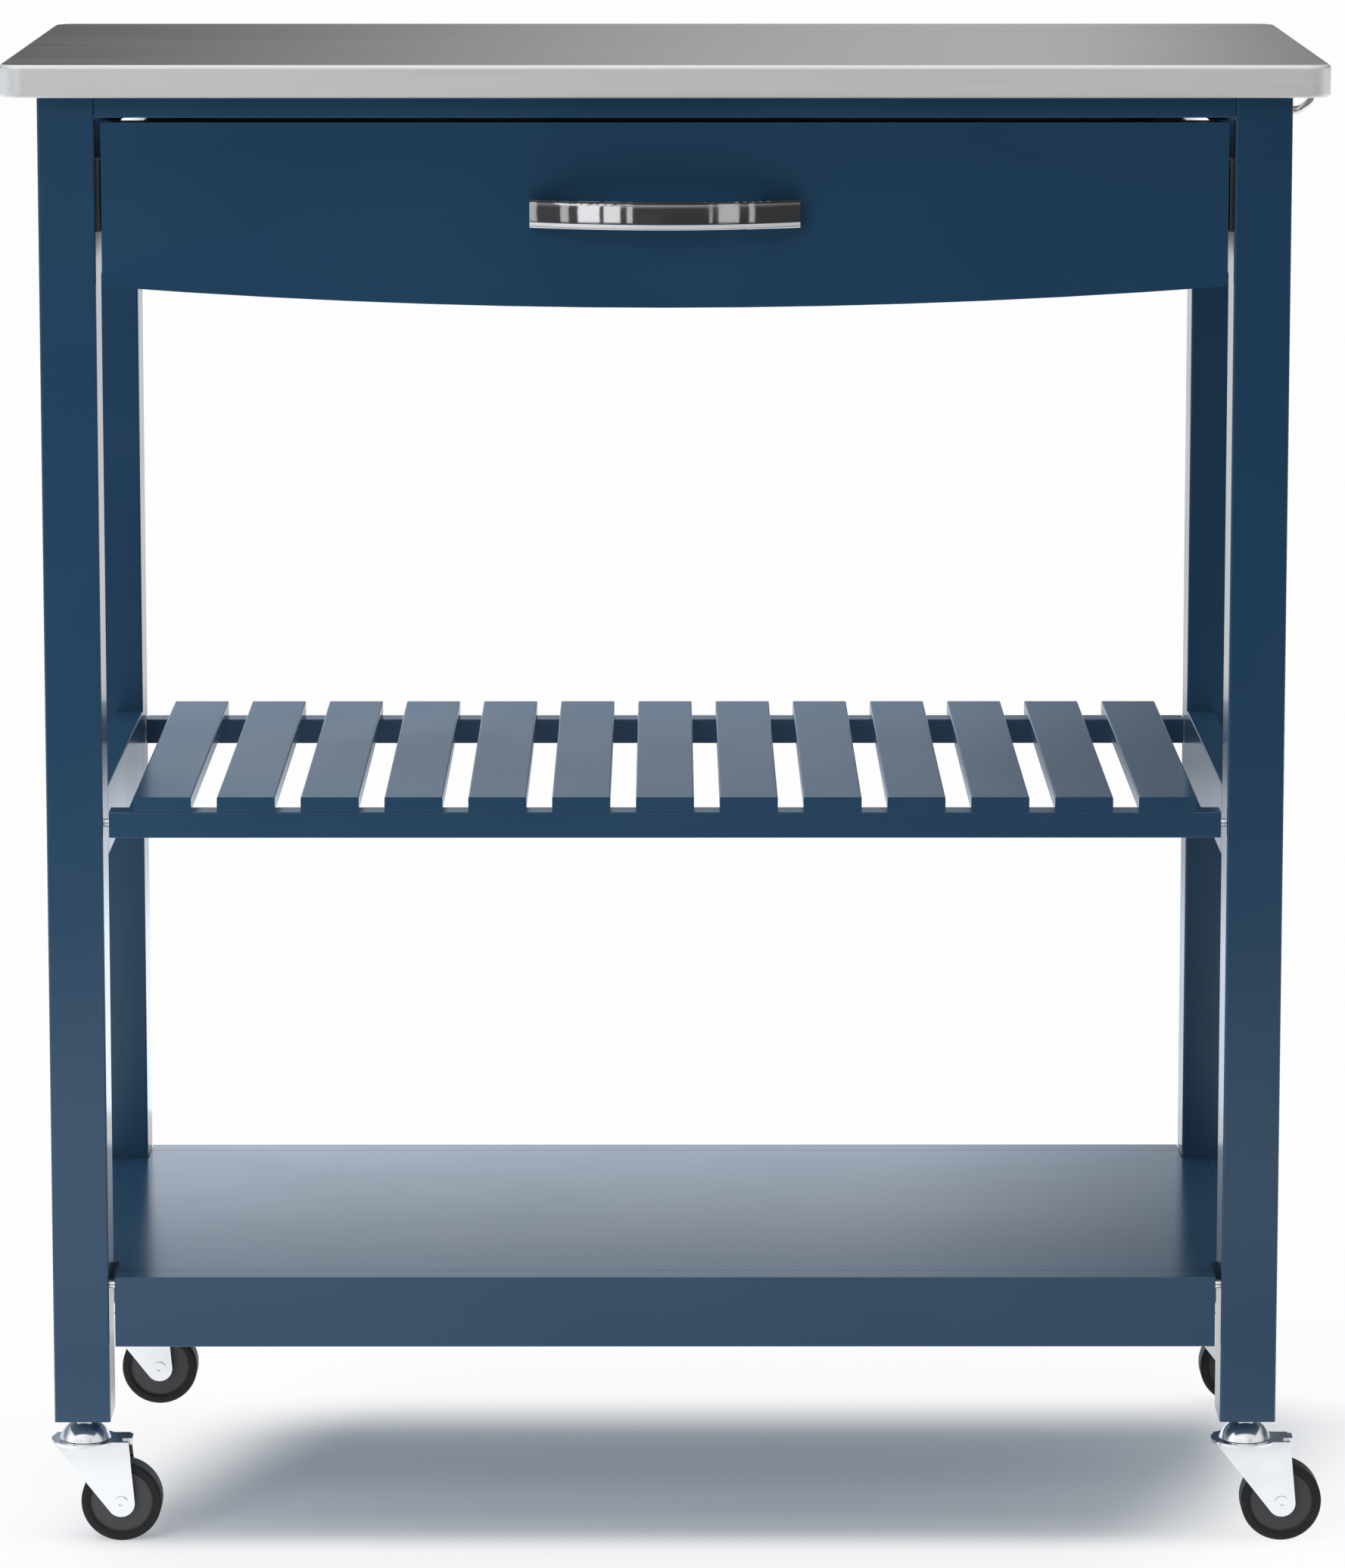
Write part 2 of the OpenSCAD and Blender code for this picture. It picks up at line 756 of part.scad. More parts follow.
module middle_section() {
    polygon(channel(middle_web, slide_t - slide_gauge - web_gap, middle_edge));
}

module inner_section() {
    difference() {
        polygon(channel(slide_t, middle_web + slide_gauge + web_gap, inner_edge));
        ball_tracks(inner_lane_x, inner_lane);
    }
}

// Places a slide piece of the right-hand side: x from the apron, y from the slide's front end.
module at_slide(side) {
    on_side(side) translate([inner_x, front_back_y + slide_setback, slide_z]) mirror([1, 0, 0]) children();
}

// A row of balls in its cage, above and below, with the row's middle at y.
module ball_rows(x, lane, y) {
    first = y - ball_pitch * (ball_count - 1) / 2;
    for (s = [-1, 1]) translate([x, first, s * lane]) {
        for (i = [0:ball_count - 1]) translate([0, i * ball_pitch, 0]) sphere(ball_r);
        translate([-0.8 * ball_r, -ball_d, -0.3])
            cube([1.6 * ball_r, ball_pitch * (ball_count - 1) + 2 * ball_d, 0.6]);
    }
}

module slide_outer(side) {
    color(zinc) at_slide(side) strip(slide_l) outer_section();
}

module slide_middle(side) {
    color(zinc) at_slide(side) {
        strip(slide_l) middle_section();
        ball_rows(outer_lane_x, outer_lane, 0.75 * slide_l);
        ball_rows(inner_lane_x, inner_lane, 0.25 * slide_l);
    }
}

module slide_inner(side) {
    color(zinc) at_slide(side) strip(slide_l) inner_section();
}

// ---- Towel bar ----

// The bar leaves each leg squarely, bends, and runs between the bends in one long arc.
bar_z = top_z - skirt_h - bar_drop;
bar_end_y = half_d - bar_inset;
bend_y = bar_end_y - bar_bend_r;
bar_bow = bar_out - bar_bend_r;
bend_ring_r = (bend_y * bend_y + bar_bow * bar_bow) / (2 * bar_bow);
bar_turn = asin(bend_y / bend_ring_r);

// A round bar bent to radius r about the origin, from angle a0 to angle a1.
module bent_bar(r, a0, a1, bar_r) {
    rotate([0, 0, a0]) rotate_extrude(angle = a1 - a0) translate([r, 0]) circle(bar_r, $fn = 32);
}

// Each piece reaches a little into the next, which is thicker by a hair.
module towel_bar() {
    bar_r = bar_d / 2;
    hair = 0.02;
    reach = 0.4;
    arc_r = bend_ring_r + bar_bend_r;
    arc_turn = bar_turn + reach / arc_r * 180 / PI;
    bend_end = 90 + reach / bar_bend_r * 180 / PI;
    color(chrome) translate([0, 0, bar_z]) {
        translate([half_w + bar_out - arc_r, 0, 0])
            bent_bar(arc_r, -arc_turn, arc_turn, bar_r - 2 * hair, $fn = 720);
        for (end = [0, 1]) mirror([0, end, 0]) {
            translate([half_w, bend_y, 0]) bent_bar(bar_bend_r, bar_turn, bend_end, bar_r - hair);
            rod_x([half_w - bar_seat, bar_end_y, 0], bar_r, bar_seat);
        }
    }
}

module bar_hole(end) {
    rod_x([half_w - bar_seat - pass_gap, end * bar_end_y, bar_z], bar_d / 2 + push_fit, bar_seat + 2);
}

// ---- Casters ----

// Moves a caster piece, drawn round the swivel axis, to its leg. It trails towards +X.
module at_caster(sx, sy) {
    translate([sx * leg_x, sy * leg_y, 0]) children();
}

nut_h = 2.5;
race_ball_r = 2;
race_ball_y = race_d / 2 - race_ball_r - 2;
race_ball_z = fork_top_z + 0.5;

// The domed race, with a groove for its balls, and the pin and nut that hold it in the leg.
module caster_stem() {
    rim_z = fork_top_z + pass_gap;
    dome_h = caster_h - nut_h - rim_z;
    dome_r = (race_d * race_d / 4 + dome_h * dome_h) / (2 * dome_h);
    king_z = fork_top_z - fork_t - run_fit;
    difference() {
        union() {
            translate([0, 0, caster_h]) cylinder(d = stem_d, h = stem_l);
            translate([0, 0, caster_h - nut_h - 2]) cylinder(d = stem_d + 5, h = nut_h + 2, $fn = 6);
            rotate_extrude() intersection() {
                translate([0, rim_z + dome_h - dome_r]) circle(dome_r, $fn = 128);
                translate([0, rim_z]) square([race_d / 2, dome_h]);
            }
            translate([0, 0, fork_top_z + run_fit]) cylinder(d = king_d + 5, h = 1);
            translate([0, 0, king_z - 2]) cylinder(d = king_d, h = rim_z - king_z + 3);
            translate([0, 0, king_z - 2]) cylinder(d = king_d + 4, h = 2);
        }
        translate([0, 0, race_ball_z])
            rotate_extrude() translate([race_ball_y, 0]) circle(race_ball_r + run_fit);
    }
}

module caster_stems() {
    color(zinc) for (sx = [-1, 1], sy = [-1, 1]) at_caster(sx, sy) caster_stem();
}

// The point where the tangent from p touches the circle at c, on the side of turn.
function touch(p, c, r, turn) = let (
    v = p - c,
    a = atan2(v[1], v[0]) + turn * acos(r / norm(v)))
    c + r * [cos(a), sin(a)];

// The fork's side seen from the front, in x and z.
module fork_outline() {
    axle = [trail, wheel_r];
    lead = [-fork_top_d / 2 + 2, fork_top_z];
    rear = [trail + 5, fork_top_z];
    polygon([lead, touch(lead, axle, fork_end_r, 1), touch(rear, axle, fork_end_r, -1), rear]);
    translate(axle) circle(fork_end_r);
}

module caster_fork(sx, sy) {
    rear_x = trail + 5;
    tab_w = 12;
    color(zinc) at_caster(sx, sy) {
        difference() {
            union() {
                translate([0, 0, fork_top_z - fork_t]) cylinder(d = fork_top_d, h = fork_t);
                translate([0, -fork_w / 2, fork_top_z - fork_t]) cube([rear_x, fork_w, fork_t]);
                for (s = [-1, 1]) translate([0, s * (fork_gap + fork_t) / 2 - fork_t / 2, 0])
                    strip(fork_t) fork_outline();
                translate([rear_x - 4, -tab_w / 2, fork_top_z - 3]) cube([6, tab_w, 4]);
                for (a = [0:45:315]) rotate([0, 0, a])
                    translate([race_ball_y, 0, race_ball_z]) sphere(race_ball_r);
            }
            translate([0, 0, fork_top_z - fork_t - 1]) cylinder(d = king_d + 2 * run_fit, h = fork_t + 2);
        }
        difference() {
            union() {
                rod_y([trail, -fork_w / 2 - 1, wheel_r], axle_d / 2, fork_w + 2);
                for (s = [-1, 1])
                    rod_y([trail, s * (fork_w / 2 + 0.5) - 0.5, wheel_r], axle_d * 0.75, 1);
            }
            for (s = [-1, 1]) rod_y([trail, s * (fork_w / 2 + 1) - 1.5, wheel_r], axle_d / 4, 3);
        }
    }
}

// The wheel's section: x is the distance from the axle, y lies along it.
module wheel_section() {
    hub_r = axle_d / 2 + 4.5;
    rim_r = wheel_r * 0.76;
    difference() {
        union() {
            translate([0, -wheel_w / 2 - wheel_side_gap + pass_gap])
                square([hub_r, wheel_w + 2 * (wheel_side_gap - pass_gap)]);
            translate([0, -wheel_w / 2 + 2]) square([rim_r + 1, wheel_w - 4]);
            translate([(rim_r + wheel_r) / 2, 0]) round_rect([wheel_r - rim_r, wheel_w], 2);
        }
        translate([-1, -wheel_w]) square([1 + axle_d / 2 + run_fit, 2 * wheel_w]);
    }
}

module caster_wheel(sx, sy) {
    color(black) at_caster(sx, sy) translate([trail, 0, wheel_r])
        rotate([90, 0, 0]) rotate_extrude($fn = 128) wheel_section();
}

top_sheet();
top_core();
top_rail_front();
apron_rear();
bottom_panel();
for (side = SIDES) {
    leg(side, -1);
    leg(side, 1);
    apron_side(side);
    slat_side_rail(side);
    shelf_side_rail(side);
    drawer_side(side);
    slide_outer(side);
    slide_middle(side);
    slide_inner(side);
}
slat_rail(-1);  // slat_rail_front
slat_rail(1);  // slat_rail_rear
shelf_rail(-1);  // shelf_rail_front
shelf_rail(1);  // shelf_rail_rear
for (i = [1:slat_count])
    slat(i);
drawer_front();
drawer_back();
drawer_bottom();
drawer_pull();
pull_screws();
drawer_dowels();
towel_bar();
caster_stems();
for (x = [0, 1], y = [0, 1]) {
    name = str(["front", "rear"][y], "_", SIDES[x]);
    caster_fork(2 * x - 1, 2 * y - 1);
    caster_wheel(2 * x - 1, 2 * y - 1);
}
connector_bolts();
slat_screws();
frame_dowels();
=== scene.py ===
"""Finishes, small fittings and studio for the kitchen island cart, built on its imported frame."""

import logging
import math
from dataclasses import dataclass, field
from enum import Enum
from typing import Iterable, Sequence

import bmesh
import bpy
from mathutils import Matrix, Vector


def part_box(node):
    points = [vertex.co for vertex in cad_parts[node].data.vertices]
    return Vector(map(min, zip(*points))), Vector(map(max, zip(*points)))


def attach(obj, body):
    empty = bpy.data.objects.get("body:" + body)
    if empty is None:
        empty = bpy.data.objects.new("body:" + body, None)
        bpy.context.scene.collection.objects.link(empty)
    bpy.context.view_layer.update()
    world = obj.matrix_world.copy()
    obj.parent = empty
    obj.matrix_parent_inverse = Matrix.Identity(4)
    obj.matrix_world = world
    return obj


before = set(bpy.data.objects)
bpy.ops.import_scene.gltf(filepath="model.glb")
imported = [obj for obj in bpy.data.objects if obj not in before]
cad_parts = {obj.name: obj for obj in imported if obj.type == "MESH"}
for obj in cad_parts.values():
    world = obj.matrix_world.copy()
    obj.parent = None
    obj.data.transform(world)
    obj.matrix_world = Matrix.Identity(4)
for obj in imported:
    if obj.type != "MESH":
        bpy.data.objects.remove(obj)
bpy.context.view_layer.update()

Triple = tuple[float, float, float]
Colour = Triple
Pair = tuple[float, float]
Stops = tuple[Pair, ...]
Socket = bpy.types.NodeSocket
Number = float | Socket
Tone = Colour | Socket

LOG = logging.getLogger("island_cart")
MM = 0.001
SIDES = ("left", "right")
CORNERS = ("front_left", "front_right", "rear_left", "rear_right")
WHITE = (1.0, 1.0, 1.0)
# The level that the camera sees behind the cart and on the far floor.
BACKDROP = 0.985
# A noise runs from 0 to 1, but keeps mostly to this part of it.
MIDTONES = (0.3, 0.7)


class Axis(Enum):
    """One of the cart's axes, as the direction of a board's grain or a sheet's brushing."""

    X = 0
    Y = 1
    Z = 2

    def stretched(self, along: float, across: float) -> Triple:
        """Returns a scale per axis.

        Args:
            along: Scale along this axis.
            across: Scale along the two others.

        Returns:
            The three scales, for X, Y and Z.
        """
        return tuple(along if i == self.value else across for i in range(3))


# ---- Node graphs ----


class Graph:
    """A thin wrapper that adds and links the nodes of one tree."""

    def __init__(self, tree: bpy.types.NodeTree) -> None:
        """Empties the tree and keeps it.

        Args:
            tree: The node tree to fill.
        """
        self.tree = tree
        tree.nodes.clear()

    def add(self, kind: str, inputs: dict | None = None, **settings: str) -> bpy.types.Node:
        """Adds a node.

        Args:
            kind: The node's type without its "ShaderNode" start.
            inputs: Socket name or number to a value, or to a socket that is linked to it.
            settings: The node's own properties.

        Returns:
            The new node.
        """
        node = self.tree.nodes.new("ShaderNode" + kind)
        for name, value in settings.items():
            setattr(node, name, value)
        for name, value in (inputs or {}).items():
            if isinstance(value, Socket):
                self.tree.links.new(value, node.inputs[name])
            else:
                node.inputs[name].default_value = value
        return node

    def math(self, operation: str, a: Number, b: Number = 0.0) -> Socket:
        """Returns the result of a Math node on one or two numbers."""
        return self.add("Math", {0: a, 1: b}, operation=operation).outputs[0]

    def vector(self, operation: str, *inputs: Socket | Sequence[float]) -> Socket:
        """Returns the vector that a Vector Math node makes of its inputs."""
        return self.add("VectorMath", dict(enumerate(inputs)), operation=operation).outputs[0]

    def mix(self, share: Number, a: Number, b: Number) -> Socket:
        """Returns a where share is 0, b where it is 1, and their mix in between."""
        return self.add("Mix", {0: share, 2: a, 3: b}, data_type="FLOAT").outputs[0]

    def parts(self, vector: Socket) -> Sequence[Socket]:
        """Returns the X, Y and Z of a vector."""
        return self.add("SeparateXYZ", {0: vector}).outputs

    def here(self) -> Socket:
        """Returns the object coordinates."""
        return self.add("TexCoord").outputs["Object"]

    def place(self, scale: Sequence[float] = (1.0, 1.0, 1.0)) -> Socket:
        """Returns the object coordinates scaled per axis."""
        return self.add("Mapping", {"Vector": self.here(), "Scale": tuple(scale)}).outputs["Vector"]

    def remap(self, value: Socket, low: float, high: float, to_low: float,
              to_high: float) -> Socket:
        """Maps a value softly from one range to another, without going past the ends.

        Args:
            value: The socket to map.
            low: Value that becomes to_low.
            high: Value that becomes to_high.
            to_low: Result at low.
            to_high: Result at high.

        Returns:
            The mapped value's socket.
        """
        node = self.add("MapRange", {"Value": value, "From Min": low, "From Max": high,
                                     "To Min": to_low, "To Max": to_high},
                        interpolation_type="SMOOTHSTEP")
        return node.outputs["Result"]

    def about(self, noise: Socket, middle: float, spread: float) -> Socket:
        """Returns a number that a noise varies by spread to either side of its middle."""
        return self.remap(noise, *MIDTONES, middle - spread, middle + spread)

    def ramp(self, value: Socket, stops: Stops) -> Socket:
        """Reads a smooth curve through (value, result) stops.

        Args:
            value: The socket to read it at.
            stops: Rising values, each with its result.

        Returns:
            The result's socket.
        """
        result = stops[0][1]
        for (low, before), (high, after) in zip(stops, stops[1:]):
            result = self.math("ADD", result, self.remap(value, low, high, 0.0, after - before))
        return result

    def blend(self, share: Number, a: Tone, b: Tone) -> Socket:
        """Mixes two colours.

        Args:
            share: How much of b, from 0 to 1.
            a: First colour or socket.
            b: Second colour or socket.

        Returns:
            The mixed colour's socket.
        """
        node = self.add("Mix", {"Factor": share}, data_type="RGBA")
        for socket, value in ((node.inputs[6], a), (node.inputs[7], b)):
            if isinstance(value, Socket):
                self.tree.links.new(value, socket)
            else:
                socket.default_value = (*value, 1.0)
        return node.outputs[2]

    def shades(self, share: Socket, colour: Colour, tones: Pair) -> Socket:
        """Varies a colour between two shades of itself.

        Args:
            share: How much of the second shade, from 0 to 1.
            colour: The linear colour.
            tones: What it is multiplied by for the first shade and for the second.

        Returns:
            The varied colour's socket.
        """
        first, second = (tuple(min(1.0, part * tone) for part in colour) for tone in tones)
        return self.blend(share, first, second)

    def noise(self, where: Socket, scale: float, detail: float = 3.0, rough: float = 0.5) -> Socket:
        """Adds a noise texture.

        Args:
            where: The vector that it reads.
            scale: Features per metre of that vector.
            detail: Octaves of finer noise.
            rough: Weight of the finer octaves.

        Returns:
            The noise's value socket.
        """
        inputs = {"Vector": where, "Scale": scale, "Detail": detail, "Roughness": rough}
        return self.add("TexNoise", inputs).outputs["Fac"]

    def bump(self, height: Socket, depth: float, strength: float = 1.0,
             under: Socket | None = None) -> Socket:
        """Turns a height into a bent normal.

        Args:
            height: The height's socket, 0 to 1.
            depth: What a height of 1 stands for, in metres.
            strength: Share of the full effect.
            under: A bent normal that this one adds to.

        Returns:
            The normal's socket.
        """
        inputs = {"Height": height, "Distance": depth, "Strength": strength}
        if under is not None:
            inputs["Normal"] = under
        return self.add("Bump", inputs).outputs["Normal"]


# ---- Finishes ----
# Scales are features per metre, depths are in metres, tones are what a colour is multiplied by,
# and a spread is how far a roughness varies to either side.


@dataclass(frozen=True)
class Finish:
    """A finish, which makes its node material once and puts it on pieces."""

    name: str
    slot: str

    def surface(self, g: Graph) -> dict:
        """Draws the finish's nodes and returns the inputs of its Principled shader."""
        raise NotImplementedError

    def material(self) -> bpy.types.Material:
        """Makes the finish's material on first use.

        Returns:
            The material, the same one at each later use.
        """
        found = bpy.data.materials.get(self.name)
        if found:
            return found
        made = bpy.data.materials.new(self.name)
        made.use_nodes = True
        g = Graph(made.node_tree)
        shader = g.add("BsdfPrincipled", self.surface(g))
        g.add("OutputMaterial", {"Surface": shader.outputs["BSDF"]})
        return made

    def dress(self, piece: bpy.types.Object) -> None:
        """Gives a piece this material in every slot.

        Args:
            piece: A CAD node's object or a new piece.
        """
        material = self.material()
        if not piece.material_slots:
            piece.data.materials.append(material)
        for held in piece.material_slots:
            held.material = material


@dataclass(frozen=True)
class SatinPaint(Finish):
    """Sprayed satin paint on a planed board, whose grain shows through very faintly."""

    colour: Colour = (0.0112, 0.0490, 0.1030)
    grain: Axis = Axis.X
    roughness: float = 0.21
    tones: Pair = (0.94, 1.06)
    cloud_scale: float = 9.0
    cloud_spread: float = 0.02
    spray_scale: float = 900.0
    spray_depth: float = 0.012 * MM
    spray_dulling: float = 0.02
    grain_along: float = 6.0
    grain_across: float = 210.0
    grain_depth: float = 0.04 * MM
    refraction: float = 1.52
    coat: float = 0.3
    coat_roughness: float = 0.14

    def surface(self, g: Graph) -> dict:
        """Draws cloudy colour, spray texture and faint grain.

        Args:
            g: The material's empty graph.

        Returns:
            The inputs of its Principled shader.
        """
        cloud = g.noise(g.place(), self.cloud_scale, detail=2.0)
        spray = g.noise(g.place(), self.spray_scale, detail=2.0, rough=0.6)
        along_board = g.place(self.grain.stretched(self.grain_along, self.grain_across))
        grain = g.noise(along_board, 1.0, detail=4.0, rough=0.6)
        rough = g.math("ADD", g.about(cloud, self.roughness, self.cloud_spread),
                       g.math("MULTIPLY", spray, self.spray_dulling))
        normal = g.bump(grain, self.grain_depth, strength=0.35)
        normal = g.bump(spray, self.spray_depth, strength=0.5, under=normal)
        return {"Base Color": g.shades(cloud, self.colour, self.tones), "Roughness": rough,
                "Normal": normal, "IOR": self.refraction,
                "Coat Weight": self.coat, "Coat Roughness": self.coat_roughness}


@dataclass(frozen=True)
class BrushedSheet(Finish):
    """Stainless sheet brushed along its length, and along each end of its skirt."""

    colour: Colour = (0.77, 0.77, 0.77)
    roughness: float = 0.50
    top_roughness: float = 0.21
    # Painted light: the colour of the skirt and fold is multiplied by this, so that they read
    # lighter than the top.
    painted_side_light: float = 1.3
    fold_from_to: Pair = (0.75, 0.98)
    corner_from_to: Pair = (0.6, 0.8)
    streak: float = 0.80
    tones: Pair = (0.92, 1.02)
    line_scales: Pair = (1500.0, 420.0)
    line_weights: Pair = (0.55, 0.45)
    line_length: float = 0.008
    line_depth: float = 0.03 * MM
    line_spread: float = 0.04
    hand_scales: Pair = (4.0, 14.0)
    hand_range: Pair = (0.35, 0.75)
    hand_spread: float = 0.006

    def lines(self, g: Graph, scale: float, on_end: Socket) -> Socket:
        """Draws one set of brush lines.

        Args:
            g: The material's graph.
            scale: Lines per metre.
            on_end: 1 on the skirt's two ends, where the lines follow Y, and 0 where they follow X.

        Returns:
            The lines' height socket.
        """
        sets = [g.noise(g.place(axis.stretched(scale * self.line_length, scale)), 1.0, detail=2.0,
                        rough=0.6) for axis in (Axis.X, Axis.Y)]
        return g.mix(on_end, *sets)

    def surface(self, g: Graph) -> dict:
        """Draws brush lines that follow X on top, front and rear, and Y on the two ends, and paints
        the faces that do not face up lighter than the top: painted light on the skirt and fold.

        Args:
            g: The material's empty graph.

        Returns:
            The inputs of its Principled shader.
        """
        normal = g.add("NewGeometry").outputs["Normal"]
        facing, _, upward = g.parts(normal)
        on_end = g.remap(g.math("ABSOLUTE", facing), *self.corner_from_to, 0.0, 1.0)
        level_line = {0: g.math("SUBTRACT", 1.0, on_end), 1: on_end}
        tangent = g.vector("CROSS_PRODUCT", normal, g.add("CombineXYZ", level_line).outputs[0])
        both = g.math("ADD", *(g.math("MULTIPLY", self.lines(g, scale, on_end), weight)
                               for scale, weight in zip(self.line_scales, self.line_weights)))
        hand = g.noise(g.place(Axis.X.stretched(*self.hand_scales)), 1.0)
        # Painted light: faces that do not face up, the skirt and the fold, get a lighter colour
        # than the top.
        side_paint_gain = g.remap(upward, *self.fold_from_to, self.painted_side_light, 1.0)
        rough = g.remap(upward, *self.fold_from_to, self.roughness, self.top_roughness)
        rough = g.math("ADD", rough, g.about(both, 0.0, self.line_spread))
        by_hand = g.remap(hand, *self.hand_range, -self.hand_spread, self.hand_spread)
        colour = g.add("VectorMath", {0: g.shades(both, self.colour, self.tones), "Scale": side_paint_gain},
                       operation="SCALE").outputs[0]
        return {"Base Color": colour, "Metallic": 1.0, "Roughness": g.math("ADD", rough, by_hand),
                "Normal": g.bump(both, self.line_depth, strength=0.6),
                "Anisotropic": self.streak, "Tangent": tangent}


@dataclass(frozen=True)
class Plated(Finish):
    """Plated steel: bright chrome, or zinc with a faint cloudiness and a fine pressed texture."""

    colour: Colour = (0.80, 0.81, 0.83)
    roughness: float = 0.05
    cloud_spread: float = 0.02
    grit_depth: float = 0.0
    tones: Pair = (0.95, 1.04)
    cloud_scale: float = 45.0
    grit_scale: float = 1600.0

    def surface(self, g: Graph) -> dict:
        """Draws cloudy colour and roughness and, where there is grit, its texture.

        Args:
            g: The material's empty graph.

        Returns:
            The inputs of its Principled shader.
        """
        cloud = g.noise(g.place(), self.cloud_scale, detail=4.0)
        made = {"Base Color": g.shades(cloud, self.colour, self.tones), "Metallic": 1.0,
                "Roughness": g.about(cloud, self.roughness, self.cloud_spread)}
        if self.grit_depth:
            grit = g.noise(g.place(), self.grit_scale, detail=2.0)
            made["Normal"] = g.bump(grit, self.grit_depth)
        return made


@dataclass(frozen=True, kw_only=True)
class CrownedChrome(Plated):
    """Bright chrome on an upright band whose face is polished slightly round, with a lip below.

    The lean is what is added to the levelled normal's Z. Its stops run over the band's height,
    from -1 at the lower edge to 1 at the upper edge.
    """

    middle: float
    half: float
    lean: Stops = ((-1.0, -0.42), (-0.62, -0.22), (-0.52, -0.02), (-0.05, 0.0),
                   (0.20, 0.05), (0.80, 0.13), (0.88, -0.04), (1.0, -0.04))
    levelling: Triple = (1.0, 1.0, 0.02)

    def surface(self, g: Graph) -> dict:
        """Leans the chrome's normal up over the band's face and down over its lip.

        Args:
            g: The material's empty graph.

        Returns:
            The inputs of its Principled shader.
        """
        made = super().surface(g)
        _, _, z = g.parts(g.here())
        height = g.math("DIVIDE", g.math("SUBTRACT", z, self.middle), self.half)
        lean = g.add("CombineXYZ", {2: g.ramp(height, self.lean)}).outputs[0]
        level = g.vector("MULTIPLY", g.add("NewGeometry").outputs["Normal"], self.levelling)
        made["Normal"] = g.vector("NORMALIZE", g.vector("ADD", level, lean))
        return made


@dataclass(frozen=True)
class Coated(Finish):
    """Pale melamine-coated board."""

    colour: Colour = (0.78, 0.78, 0.76)
    roughness: float = 0.42
    tones: Pair = (0.97, 1.03)
    cloud_scale: float = 20.0
    cloud_spread: float = 0.04
    pebble_scale: float = 700.0
    pebble_depth: float = 0.03 * MM

    def surface(self, g: Graph) -> dict:
        """Draws a fine pebbled coating.

        Args:
            g: The material's empty graph.

        Returns:
            The inputs of its Principled shader.
        """
        cells = g.add("TexVoronoi", {"Vector": g.place(), "Scale": self.pebble_scale})
        cloud = g.noise(g.place(), self.cloud_scale)
        return {"Base Color": g.shades(cloud, self.colour, self.tones),
                "Roughness": g.about(cloud, self.roughness, self.cloud_spread),
                "Normal": g.bump(cells.outputs["Distance"], self.pebble_depth, strength=0.5)}


@dataclass(frozen=True)
class RawWood(Finish):
    """Bare wood or chipboard: chips or fibres of differing tone."""

    dark: Colour = (0.30, 0.19, 0.10)
    light: Colour = (0.62, 0.46, 0.28)
    grain: Axis = Axis.X
    along: float = 60.0
    across: float = 260.0
    roughness: float = 0.78
    soft_scale: float = 0.6
    tone_range: Pair = (0.15, 0.85)
    depth: float = 0.12 * MM

    def surface(self, g: Graph) -> dict:
        """Draws chips or fibres from a stretched cell pattern over a soft noise.

        Args:
            g: The material's empty graph.

        Returns:
            The inputs of its Principled shader.
        """
        where = g.place(self.grain.stretched(self.along, self.across))
        chips = g.add("TexVoronoi", {"Vector": where, "Scale": 1.0}).outputs["Color"]
        soft = g.noise(where, self.soft_scale, detail=5.0)
        tone = g.math("ADD", g.math("MULTIPLY", chips, 0.5), g.math("MULTIPLY", soft, 0.5))
        light_share = g.remap(tone, *self.tone_range, 0.0, 1.0)
        return {"Base Color": g.blend(light_share, self.dark, self.light),
                "Roughness": self.roughness, "Normal": g.bump(tone, self.depth, strength=0.6)}


@dataclass(frozen=True)
class WheelBlack(Finish):
    """A caster wheel: a grey moulded core that meets a black tread at a clean ring.

    The centre is the axle's x and z, and the ring is the radius at which core and tread meet.
    """

    centre: Pair
    ring: float
    core: Colour = (0.048, 0.048, 0.052)
    tread: Colour = (0.0065, 0.0065, 0.0075)
    core_roughness: float = 0.34
    tread_roughness: float = 0.46
    gloss: float = 0.28
    dust: Colour = (0.09, 0.088, 0.085)
    dust_scale: float = 260.0
    dust_range: Pair = (0.55, 0.8)
    dust_share: float = 0.18
    dust_dulling: float = 0.12
    dust_depth: float = 0.04 * MM

    def surface(self, g: Graph) -> dict:
        """Draws core and tread by their distance from the axle, with a little dust on both.

        Args:
            g: The material's empty graph.

        Returns:
            The inputs of its Principled shader.
        """
        x, _, z = g.parts(g.here())
        squares = [g.math("MULTIPLY", off, off) for off in
                   (g.math("SUBTRACT", x, self.centre[0]), g.math("SUBTRACT", z, self.centre[1]))]
        on_tread = g.math("GREATER_THAN", g.math("SQRT", g.math("ADD", *squares)), self.ring)
        dust = g.noise(g.place(), self.dust_scale, detail=4.0, rough=0.6)
        colour = g.blend(on_tread, self.core, self.tread)
        colour = g.blend(g.remap(dust, *self.dust_range, 0.0, self.dust_share), colour, self.dust)
        rough = g.remap(on_tread, 0.0, 1.0, self.core_roughness, self.tread_roughness)
        rough = g.math("ADD", rough, g.math("MULTIPLY", dust, self.dust_dulling))
        return {"Base Color": colour, "Roughness": rough, "Specular IOR Level": self.gloss,
                "Normal": g.bump(dust, self.dust_depth, strength=0.5)}


